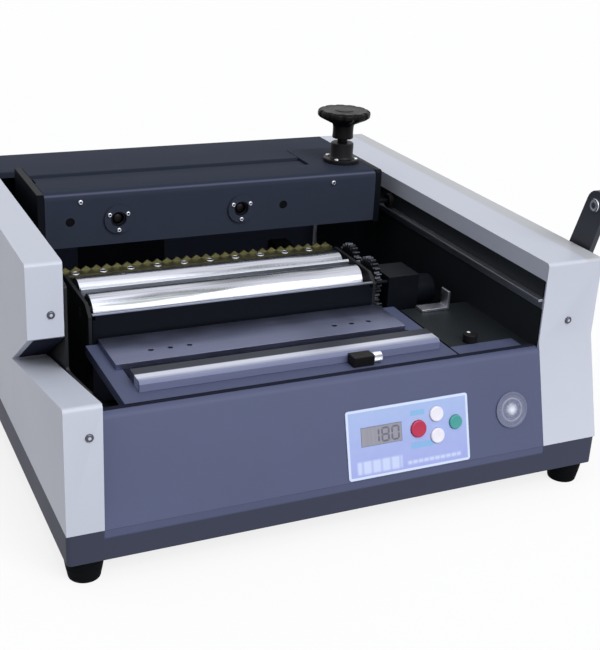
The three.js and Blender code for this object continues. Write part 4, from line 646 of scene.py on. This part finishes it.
# Outer corners of the folded covers are bent, so they take a wider rounding than the cut edges
bentEdges = {"front_left_cover": 3.2, "rear_left_cover": 3.2, "right_cover": 3.2, "rear_cover": 2.2,
             "carriage_housing": 2.2, "base_pan": 2.4}
easing = {"merge": 2e-6, "flat": 0.7, "corner": 40, "sharp": 34, "wideFace": 1500 * mm * mm,
          "bendSegments": 3, "edgeSegments": 2}


def weighBends(work, bend, width):
    # Weight 1 on convex edges between two wide faces, and the cut edges' share on the rest
    weights = work.edges.layers.float.new("bevel_weight_edge")
    for edge in work.edges:
        if not edge.is_manifold or edge.calc_face_angle(0) < math.radians(easing["corner"]):
            continue
        wide = min(face.calc_area() for face in edge.link_faces) > easing["wideFace"]
        edge[weights] = 1.0 if wide and edge.calc_face_angle_signed(0) > 0 else width / bend


def easeNode(node, width):
    mesh = frame["nodes"][node].data.copy()
    mesh.name = node + "_eased"
    for layer in ("custom_normal", "sharp_face"):
        if layer in mesh.attributes:
            mesh.attributes.remove(mesh.attributes[layer])
    work = bmesh.new()
    work.from_mesh(mesh)
    bmesh.ops.remove_doubles(work, verts=work.verts, dist=easing["merge"])
    bmesh.ops.dissolve_limit(work, angle_limit=math.radians(easing["flat"]), verts=work.verts,
                             edges=work.edges)
    bend = bentEdges.get(node, 0)
    if bend:
        weighBends(work, bend, width)
    work.to_mesh(mesh)
    work.free()
    piece = placeObject(node + "_eased", mesh, finishOf(node), easing["sharp"], bodyOf[node], [node])
    bevel = piece.modifiers.new("easedEdges", "BEVEL")
    bevel.width = (bend or width) * mm
    bevel.segments = easing["bendSegments" if bend else "edgeSegments"]
    bevel.limit_method = "WEIGHT" if bend else "ANGLE"
    bevel.angle_limit = math.radians(easing["corner"])
    bevel.harden_normals = True
    bevel.use_clamp_overlap = True


for node, width in easedEdges.items():
    easeNode(node, width)
print("stage: edges eased", len(easedEdges))


# Feet: radius and height up a recess, a tread ring and a flared side with two shallow grooves
foot = {"steps": 56,
        "points": [[0, 2.6], [5, 2.6], [7.8, 0], [15.5, 0], [16.6, 5.6], [16.2, 6.2], [16.9, 6.9],
                   [18.1, 13.4], [17.6, 14.0], [18.3, 14.7], [19, 19.5], [19, 25.4], [0, 25.4]],
        "rounds": [0, 0.5, 0.4, 1.2, 0.3, 0.3, 0.3, 0.3, 0.3, 0.3, 0.8, 0.8, 0]}
for corner in ("front_left", "front_right", "rear_left", "rear_right"):
    name = "foot_" + corner
    addTurned(name + "_rubber", roundedProfile(foot["points"], foot["rounds"]), foot["steps"],
              (*middleOf(name)[:2], 0), (0, 0, 1), "rubber", "frame", replaces=[name])
print("stage: feet")


roller = {"steps": 96, "drum": 19.0, "journal": 6.0, "tip": 4.8, "drumLeft": -266.15, "drumRight": 53.85,
          "gearStep": 70.9, "rounds": [0, 0.6, 0.5, 1.2, 1.2, 0.5, 0.3, 0.2, 0.6, 0]}


def rollerProfile(left, right):
    # Radius and place along x: a journal, the drum, a longer journal and its stepped tip
    points = [[0, left], [roller["journal"], left], [roller["journal"], roller["drumLeft"]],
              [roller["drum"], roller["drumLeft"]], [roller["drum"], roller["drumRight"]],
              [roller["journal"], roller["drumRight"]], [roller["journal"], roller["gearStep"]],
              [roller["tip"], roller["gearStep"]], [roller["tip"], right], [0, right]]
    return roundedProfile(points, roller["rounds"])


for name in ("main_roller", "rear_roller"):
    low, high = boxOf(name)
    addTurned(name + "_ground", rollerProfile(low[0], high[0]), roller["steps"], (0, *middleOf(name)[1:]),
              (1, 0, 0), "ground_roller", bodyOf[name], replaces=[name])
print("stage: rollers")


# Clamp knob: a bevel wheel at the foot of its shaft, then the neck and a flat head with a ring in its
# top, as radius and height
knob = {
    "x": 112.85, "y": 102.15, "steps": 144,
    "points": [[0, 255], [21.2, 255], [21.2, 263], [6.3, 263], [6.3, 306], [13.5, 306], [12.9, 315],
               [13.5, 324], [30.15, 332], [33.5, 334.5], [33.5, 339.5], [30.15, 342], [24, 341.3],
               [12.5, 341.3], [11.5, 342], [0, 342]],
    "rounds": [0, 0.4, 0.4, 0.8, 0.4, 1.2, 6, 3, 1.5, 1.5, 1.5, 1.5, 1.5, 0.5, 0.4, 0], "cornerSteps": 5,
    "flutes": 12, "fluteDepth": 2.3, "fluteSpan": 0.13, "fluteFrom": 25.0, "fluteFade": 5.0,
    "headFoot": 324.0,
}


def knobFlutes(radius, height, angle):
    # Finger hollows: the radius falls by the depth times (1 - (d / span)^2), d the angle from the
    # nearest hollow, and only on the head
    pitch = 2 * np.pi / knob["flutes"]
    away = (angle + pitch / 2) % pitch - pitch / 2
    hollow = np.clip(1 - (away / knob["fluteSpan"]) ** 2, 0, 1)
    onHead = np.clip((radius - knob["fluteFrom"]) / knob["fluteFade"], 0, 1) * (height > knob["headFoot"])
    return -knob["fluteDepth"] * hollow * onHead


knobPlace = (knob["x"], knob["y"], 0.0)
knobProfile = roundedProfile(knob["points"], knob["rounds"], knob["cornerSteps"])
addTurned("clamp_knob_head", knobProfile, knob["steps"], knobPlace, (0, 0, 1), "knob_plastic", "knob",
          knobFlutes, replaces=["clamp_knob"], sharp=40)

# Boss: a ring of radius and height round the knob's shaft, flange below and bearing above
boss = {"steps": 64, "flangeTop": 280.5, "screwReach": 18.75, "screwCount": 4, "screwStart": 45,
        "ring": [[6.6, 275.5], [22.5, 275.5], [23, 276], [23, 279.7], [22.2, 280.5], [16.1, 280.7],
                 [15, 281.8], [14.5, 283.5], [14.5, 299], [13.5, 300], [7.2, 300], [6.6, 299.4]]}
addTurned("knob_boss", boss["ring"], boss["steps"], knobPlace, (0, 0, 1), "black_plastic", "carriage",
          replaces=["knob_base"], closed=True)


# Screw head: a low dome with a round socket, as shares of its radius and rise. Its foot is sunk
screwHead = {"steps": 24, "sunk": 0.6, "rounds": [0, 0.1, 0.5, 0.6, 0.15, 0.2, 0],
             "shares": [[0, 0], [1, 0], [1, 0.55], [0.8, 1], [0.42, 1], [0.378, 0.25], [0, 0.2]]}


def addScrew(name, place, along, radius, rise, finish, body):
    points = np.array(screwHead["shares"]) * [radius, rise]
    points[:2, 1] = -screwHead["sunk"]
    addTurned(name, roundedProfile(points, screwHead["rounds"]), screwHead["steps"], place, along, finish,
              body, slot="bright_steel")


def aroundCircle(radius, degrees):
    return radius * math.cos(math.radians(degrees)), radius * math.sin(math.radians(degrees))


screwSizes = {"bush": (2.8, 1.9), "plate": (3.0, 1.9), "boss": (2.75, 1.8), "cover": (4.0, 1.9)}
bush = {"left": -197.15, "right": -45.15, "height": 240.5, "face": 47.65, "circle": 12.5,
        "turns": (30, 150, 270)}
plateScrews = [(-240.75, 50.65, 263.5), (77.75, 50.65, 263.5)]
coverScrews = {"front_left": (-327.25, -301.35, 157.0), "rear_left": (-327.25, -165.35, 221.5),
               "right": (209.85, -268.65, 189.5)}
for side in ("left", "right"):
    for index, turn in enumerate(bush["turns"], 1):
        across, up = aroundCircle(bush["circle"], turn)
        place = (bush[side] + across, bush["face"], bush["height"] + up)
        addScrew(f"bush_screw_{side}_{index}", place, (0, -1, 0), *screwSizes["bush"], "screw_steel",
                 "carriage")
for index, place in enumerate(plateScrews, 1):
    addScrew(f"plate_screw_{index}", place, (0, -1, 0), *screwSizes["plate"], "screw_steel", "carriage")
for index in range(boss["screwCount"]):
    across, deep = aroundCircle(boss["screwReach"], boss["screwStart"] + 360 / boss["screwCount"] * index)
    place = (knob["x"] + across, knob["y"] + deep, boss["flangeTop"])
    addScrew(f"boss_screw_{index + 1}", place, (0, 0, 1), *screwSizes["boss"], "screw_steel", "carriage")
for name, place in coverScrews.items():
    addScrew(name + "_cover_screw", place, (0, -1, 0), *screwSizes["cover"], "dark_screw", "frame")
print("stage: knob and screws")


buttons = tableOf(
    "x rise radius finish",
    red_button=(20.35, 44.0, 9.0, "red_plastic"),
    white_button_upper=(42.35, 56.5, 8.0, "white_plastic"),
    white_button_lower=(42.35, 33.5, 8.0, "white_plastic"),
    green_button=(64.85, 44.5, 7.5, "green_plastic"),
)

# Stem, collar behind the panel, straight side and a shallow dish in the cap's face. Each point's
# radius is its own plus a share of the cap's
buttonShape = {"steps": 48, "rounds": [0, 0.2, 0.2, 0.3, 0.3, 0.2, 1.4, 1.5, 0],
               "points": [[0, -5.7], [2.7, -5.7], [2.7, -3.5], [2, -3.5], [2, -2.3], [0, -2.3], [0, 3.7],
                          [0, 3.45], [0, 3.2]],
               "shares": [0, 0, 0, 1, 1, 1, 1, 0.62, 0]}


def buttonProfile(radius):
    points = np.array(buttonShape["points"], float)
    points[:, 0] += np.array(buttonShape["shares"]) * radius
    return roundedProfile(points, buttonShape["rounds"])


for name, values in buttons.items():
    addTurned(name + "_cap", buttonProfile(values["radius"]), buttonShape["steps"],
              onPanel(values["x"], values["rise"]), panelLift, values["finish"], bodyOf[name],
              replaces=[name])

# Emblem: a raised rim, one thin ring and a low dome in the middle, as radius and lift
emblem = {"steps": 64, "points": [[0, 0.3], [19.5, 0.3], [19.5, 1.7], [17.4, 1.7], [16.8, 1.25], [13.2, 1.25],
                                  [12.7, 1.55], [11.6, 1.55], [11.1, 1.25], [6.6, 1.25], [6, 1.75], [3, 2],
                                  [0, 2.1]],
          "rounds": [0, 0.2, 0.4, 0.4, 0.3, 0.3, 0.2, 0.2, 0.3, 0.3, 0.4, 0.5, 0]}
addTurned("emblem_rings", roundedProfile(emblem["points"], emblem["rounds"]), emblem["steps"],
          onPanel(badge["x"], badge["rise"]), panelLift, "emblem_metal", "frame", replaces=["emblem_disc"])

# Heater dial with a white dot near its edge, as radius and height
dial = {"x": 117.85, "y": -222.35, "steps": 96, "ribs": 24, "ribDepth": 0.18, "ribFrom": 7.5,
        "ribFoot": 158.8,
        "points": [[0, 146.5], [3, 146.5], [3, 157.8], [8, 157.8], [8, 166.6], [6.2, 166.8], [0, 166.7]],
        "rounds": [0, 0.2, 0.2, 0.6, 0.9, 0.5, 0],
        "dotAhead": 4.0, "dotSteps": 24, "dotPoints": [[0, 166.4], [2, 166.4], [2, 167.05], [0, 167.1]],
        "dotRounds": [0, 0.1, 0.3, 0]}


def dialRibs(radius, height, angle):
    # Grip ribs: the outer radius falls and rises with a cosine of the rib count times the angle
    onRim = (radius > dial["ribFrom"]) & (height > dial["ribFoot"])
    return -dial["ribDepth"] * (1 - np.cos(angle * dial["ribs"])) * onRim


addTurned("heater_dial_cap", roundedProfile(dial["points"], dial["rounds"]), dial["steps"],
          (dial["x"], dial["y"], 0), (0, 0, 1), "black_plastic", bodyOf["heater_dial"], dialRibs,
          replaces=["heater_dial"])
addTurned("heater_dial_dot", roundedProfile(dial["dotPoints"], dial["dotRounds"]), dial["dotSteps"],
          (dial["x"], dial["y"] + dial["dotAhead"], 0), (0, 0, 1), "dial_dot", bodyOf["heater_dial"],
          slot="white_plastic")
print("stage: controls")


# Display digits, plain seven-segment numbers. A segment is its side, its level and whether it stands
digits = {"text": "180", "height": 13.6, "width": 7.6, "pitch": 11.6, "stroke": 1.9, "gap": 0.25,
          "last": -6.4, "rise": 44.5, "lift": 1.31, "thickness": 0.12, "rim": 0.02}
segments = {"a": (0, 1, 0), "b": (1, 0.5, 1), "c": (1, -0.5, 1), "d": (0, -1, 0),
            "e": (-1, -0.5, 1), "f": (-1, 0.5, 1), "g": (0, 0, 0)}
litSegments = {"0": "abcdef", "1": "bc", "8": "abcdefg"}


def segmentSheet(middleX, middleRise, upright):
    # A bar with pointed ends: six corners, lifted off the window by a hair
    half = (digits["height"] / 2 if upright else digits["width"]) / 2 - digits["gap"]
    thick = digits["stroke"] / 2
    bar = np.array([[-half, 0], [-half + thick, -thick], [half - thick, -thick], [half, 0],
                    [half - thick, thick], [-half + thick, thick]])
    if upright:
        bar = bar[:, ::-1] * [-1, 1]
    sheet = plateSheet(bar + [middleX, middleRise], digits["thickness"], digits["rim"])
    return onPanel(0, 0, digits["lift"]) + sheet @ np.stack([(1.0, 0, 0), panelRise, panelLift])


digitSheets = []
for index, character in enumerate(digits["text"]):
    centre = digits["last"] + (index - len(digits["text"]) + 1) * digits["pitch"]
    for side, level, upright in (segments[letter] for letter in litSegments[character]):
        digitSheets.append(segmentSheet(centre + side * digits["width"] / 2,
                                        digits["rise"] + level * digits["height"] / 2, upright))
addPiece("display_digits", digitSheets, "display_ink", "frame", slot="display_window")


# Thin strips and sheets on a face: near-black strips of painted shade in the gap behind the panel's top
# flange, in the table's groove between plate and bar, and under the rear left cover's sloping foot, and dust
# gauze behind the air slots
patches = tableOf(
    "place out half thickness corner finish body",
    # Painted shade: a near-black strip in the gap behind the panel's top flange
    panel_edging=((-69.65, -260.6, 161.5), (0, 0, 1), (243.5, 2.6), 0.9, 1.2, "felt", "frame"),
    # Painted shade: a near-black strip in the shaded gap between nip plate and nip bar
    table_felt=((-96.0, -186.3, 157.52), (0, 0, 1), (163.0, 11.4), 0.9, 1.5, "felt", "table"),
    slot_gauze=((-121.15, 298.5, 119.0), (0, -1, 0), (62.0, 28.0), 1.1, 2.0, "gauze", "frame"),
    # Painted shade: a near-black strip in the shaded gap under the rear left cover's sloping foot
    cover_seal=((-329.8, -124.05, 170.4), (0, -0.5497, -0.8354), (14.6, 46.0), 0.9, 3.0, "felt", "frame"),
)
patchRim = {"ofThickness": 0.35, "ofCorner": 0.4}


def patchOutline(half, corner):
    # A quarter turn round each corner centre: centre + corner radius * (cos a, sin a)
    turn = np.linspace(0, np.pi / 2, 6)
    quarters = [np.stack([np.cos(turn + q), np.sin(turn + q)], axis=1) for q in np.arange(4) * np.pi / 2]
    ends = np.array([(1, 1), (-1, 1), (-1, -1), (1, -1)]) * (np.array(half) - corner)
    return np.vstack([quarter * corner + end for quarter, end in zip(quarters, ends)])


for name, values in patches.items():
    rim = min(values["thickness"] * patchRim["ofThickness"], values["corner"] * patchRim["ofCorner"])
    sheet = plateSheet(patchOutline(values["half"], values["corner"]), values["thickness"], rim)
    addPiece(name, [standing(sheet, values["place"], values["out"], (1, 0, 0))], values["finish"],
             values["body"], slot="black_plastic")


# Bright eyelets in the holes of the cutter rail: a ring of radius and height
eyelet = {"first": -258.8, "pitch": 32.0, "count": 10, "y": 10.15, "foot": 194.0, "steps": 24,
          "ring": [[3.25, 0.05], [4.9, 0.05], [4.9, 0.4], [4.4, 0.9], [3.55, 0.9], [3.25, 0.6]]}
for index in range(eyelet["count"]):
    place = (eyelet["first"] + index * eyelet["pitch"], eyelet["y"], eyelet["foot"])
    addTurned(f"cutter_eyelet_{index + 1}", eyelet["ring"], eyelet["steps"], place, (0, 0, 1), "screw_steel",
              bodyOf["notch_cutter"], slot="bright_steel", closed=True)


# Thumb screw: its tip, the knurled head and a stub, as radius and place along x
thumb = {"steps": 120, "tip": 2.5, "knurls": 30, "knurlDepth": 0.35, "knurlFrom": 4.9,
         "points": [[2.5, -11.2], [5.5, -11.2], [5.5, -1.2], [2.2, -1.2], [1.8, -1.7], [0, -1.7]],
         "rounds": [0, 0.4, 0.2, 0.8, 0.8, 0.2, 0.2, 0]}
thumbStart = boxOf("thumb_screw")[0][0]
thumbPoints = [[0, thumbStart], [thumb["tip"], thumbStart], *thumb["points"]]


def thumbKnurl(radius, height, angle):
    # The head's radius falls by the depth times (1 - cos(knurls * angle)) / 2
    return -thumb["knurlDepth"] * (1 - np.cos(angle * thumb["knurls"])) / 2 * (radius > thumb["knurlFrom"])


addTurned("thumb_screw_knurled", roundedProfile(thumbPoints, thumb["rounds"]), thumb["steps"],
          (0, *middleOf("thumb_screw")[1:]), (1, 0, 0), "screw_steel", bodyOf["thumb_screw"], thumbKnurl,
          replaces=["thumb_screw"], sharp=50)

spindle = {"steps": 32, "rows": 160, "radius": 6.0, "threadDepth": 0.35, "threadPitch": 2.5, "startGap": 1.2,
           "endGap": 0.2, "startRadius": 4.6, "endRadius": 5.4}
nut = {"steps": 48, "ring": [[6.3, 0.8], [7, 0], [8.6, 0], [9, 0.5], [9, 12.5], [11.7, 12.5], [11.7, 21.5],
                             [6.3, 21.5]]}


def spindleProfile(start, end):
    # The radius falls and rises with the length: radius - depth * (1 + cos(2 pi length / pitch)) / 2
    length = np.linspace(start + spindle["startGap"], end - spindle["endGap"], spindle["rows"])
    wave = (1 + np.cos(2 * np.pi * (length - start) / spindle["threadPitch"])) / 2
    thread = np.stack([spindle["radius"] - spindle["threadDepth"] * wave, length], axis=1)
    return np.vstack([[[0, start], [spindle["startRadius"], start]], thread,
                      [[spindle["endRadius"], end], [0, end]]])


for side in ("left", "right"):
    name = "clamp_spindle_" + side
    low, high = boxOf(name)
    middle = middleOf(name)
    addTurned(name + "_thread", spindleProfile(low[1], high[1]), spindle["steps"], (middle[0], 0, middle[2]),
              (0, 1, 0), "oiled_steel", bodyOf[name], replaces=[name], sharp=60)
    name = "spindle_nut_" + side
    middle = middleOf(name)
    ring = np.array(nut["ring"]) + [0, boxOf(name)[0][1]]
    addTurned(name + "_ring", ring, nut["steps"], (middle[0], 0, middle[2]), (0, 1, 0), "oiled_steel",
              bodyOf[name], replaces=[name], closed=True)

# Lever's grip: a barrel with moulded rings and a bore for the bolt, as radius and length
grip = {"steps": 48, "rows": 260, "bore": 3.3, "boreDepth": 24.3, "foot": 9.6,
        "barrel": [[12, 5.7], [10.8, 47.5], [12, 80.75], [9, 93]], "tip": 5.0,
        "rounds": [0, 0.4, 0.8, 6, 26, 10, 5, 2, 0], "ringsFrom": 0.3, "ringsTo": 0.72, "ringsAbove": 8.0,
        "ringDepth": 0.25, "ringPitch": 4.0}
gripLow, gripHigh = boxOf("lever_grip")
gripLength = gripHigh[0] - gripLow[0]
gripPlace = (gripLow[0], *middleOf("lever_grip")[1:])
gripOutline = roundedProfile([
    [grip["bore"], grip["boreDepth"]], [grip["bore"], 0], [grip["foot"], 0], *grip["barrel"],
    [grip["tip"], gripLength], [0, gripLength]], grip["rounds"], 6)
gripOutline = np.vstack([[[0, grip["boreDepth"]]], gripOutline])
gripShare = np.linspace(0, 1, grip["rows"]), np.linspace(0, 1, len(gripOutline))
fineOutline = np.stack([np.interp(*gripShare, column) for column in gripOutline.T], axis=1)


def gripRings(radius, height, angle):
    # Shallow rings round the middle of the grip: depth * (1 + cos(2 pi length / pitch))
    share = height / gripLength
    onGrip = (share > grip["ringsFrom"]) & (share < grip["ringsTo"]) & (radius > grip["ringsAbove"])
    return -grip["ringDepth"] * (1 + np.cos(2 * np.pi * height / grip["ringPitch"])) * onGrip


addTurned("lever_grip_moulded", fineOutline, grip["steps"], gripPlace, (1, 0, 0), "black_plastic", "lever",
          gripRings, replaces=["lever_grip"])

bolt = {"x": 248.9, "steps": 36, "rounds": [0, 0.2, 1.0, 0.8, 0.3, 0.3, 0],
        "points": [[0, 0], [7.4, 0], [7.4, 2.6], [6.2, 3.6], [3.4, 3.6], [3.1, 1.6], [0, 1.4]]}
addTurned("lever_bolt", roundedProfile(bolt["points"], bolt["rounds"]), bolt["steps"],
          (bolt["x"], *gripPlace[1:]), (-1, 0, 0), "screw_steel", "lever", slot="bright_steel")
print("stage: turned pieces")

# Every solid gets its finish, also where it shows as it is
for name, node in frame["nodes"].items():
    node.data.materials.clear()
    node.data.materials.append(finishOf(name))

# Floor: grey to the lamps, and nearly white to the camera, where only the object's shadow dims it
white = (1.0, 1.0, 1.0, 1.0)
ground = {"reach": 40.0, "colour": (0.45, 0.45, 0.46, 1.0), "roughness": 0.9, "glowShare": 0.8}
floorMesh = bpy.data.meshes.new("floor")
reach = ground["reach"]
floorCorners = [(-reach, -reach, 0), (reach, -reach, 0), (reach, reach, 0), (-reach, reach, 0)]
floorMesh.from_pydata(floorCorners, [], [(0, 1, 2, 3)])
floor = bpy.data.objects.new("floor", floorMesh)
bpy.context.scene.collection.objects.link(floor)
floorFinish = Finish("floor", ground["colour"], ground["roughness"], Specular_IOR_Level=0.0)
floorSeen = floorFinish.seen()
floorFinish.feed("Base Color", floorFinish.blend(floorSeen, ground["colour"], white))
floorGlow = floorFinish.add("Emission", {}, {"Color": white, "Strength": 1.0})
floorLook = floorFinish.add("MixShader", {}, {0: floorSeen * ground["glowShare"], 1: floorFinish.shader,
                                              2: floorGlow})
floorFinish.tree.links.new(floorLook.socket, floorFinish.end.node.inputs["Surface"])
floorMesh.materials.append(floorFinish.material)

# Room: a soft cool light all round, and plain white to the camera and in mirrors
air = {"Color": (0.94, 0.97, 1.0, 1.0), "Strength": 0.4}
room = bpy.data.worlds.new("room")
bpy.context.scene.world = room
room.use_nodes = True
roomNodes = Nodes(room.node_tree)
softAir = roomNodes.add("Background", {}, air)
whiteAir = roomNodes.add("Background", {}, {"Color": white, "Strength": 1.0})
roomLook = roomNodes.add("MixShader", {}, {0: roomNodes.seen(), 1: softAir, 2: whiteAir})
roomNodes.add("OutputWorld", {}, {"Surface": roomLook})

# Direction that the light goes, strength, and the lamp's width in degrees
lamps = {"keyLamp": ((-0.2, 0.78, -0.62), 2.2, 45), "topLamp": ((0.25, 0.2, -1.0), 0.45, 60)}
for name, (towards, strength, spread) in lamps.items():
    lamp = bpy.data.lights.new(name, "SUN")
    lamp.energy = strength
    lamp.angle = math.radians(spread)
    sun = bpy.data.objects.new(name, lamp)
    sun.rotation_mode = "QUATERNION"
    sun.rotation_quaternion = Vector(towards).to_track_quat("-Z", "Y")
    bpy.context.scene.collection.objects.link(sun)

# The camera that was fitted to the photograph's edges: place in metres, lens in millimetres, and
# angles in radians
camera = {
    "place": (-0.55979, -1.20542, 0.65952), "lens": 64.90, "sensor": 36.0,
    "azimuth": 0.44698, "elevation": 0.39636, "roll": 0.05356,
}
azimuth, elevation, roll = camera["azimuth"], camera["elevation"], camera["roll"]
looking = Vector((math.sin(azimuth) * math.cos(elevation), math.cos(azimuth) * math.cos(elevation),
                  -math.sin(elevation)))
right = Vector((math.cos(azimuth), -math.sin(azimuth), 0.0))
upward = right.cross(looking)
rolledRight = right * math.cos(roll) + upward * math.sin(roll)
rolledUp = upward * math.cos(roll) - right * math.sin(roll)
lens = bpy.data.cameras.new("camera")
lens.lens = camera["lens"]
lens.sensor_width = camera["sensor"]
cameraObject = bpy.data.objects.new("camera", lens)
columns = Matrix((rolledRight, rolledUp, -looking)).transposed()
cameraObject.matrix_world = Matrix.Translation(Vector(camera["place"])) @ columns.to_4x4()
bpy.context.scene.collection.objects.link(cameraObject)
bpy.context.scene.camera = cameraObject
bpy.context.scene.view_settings.view_transform = "Standard"
print("stage: lamps and camera")
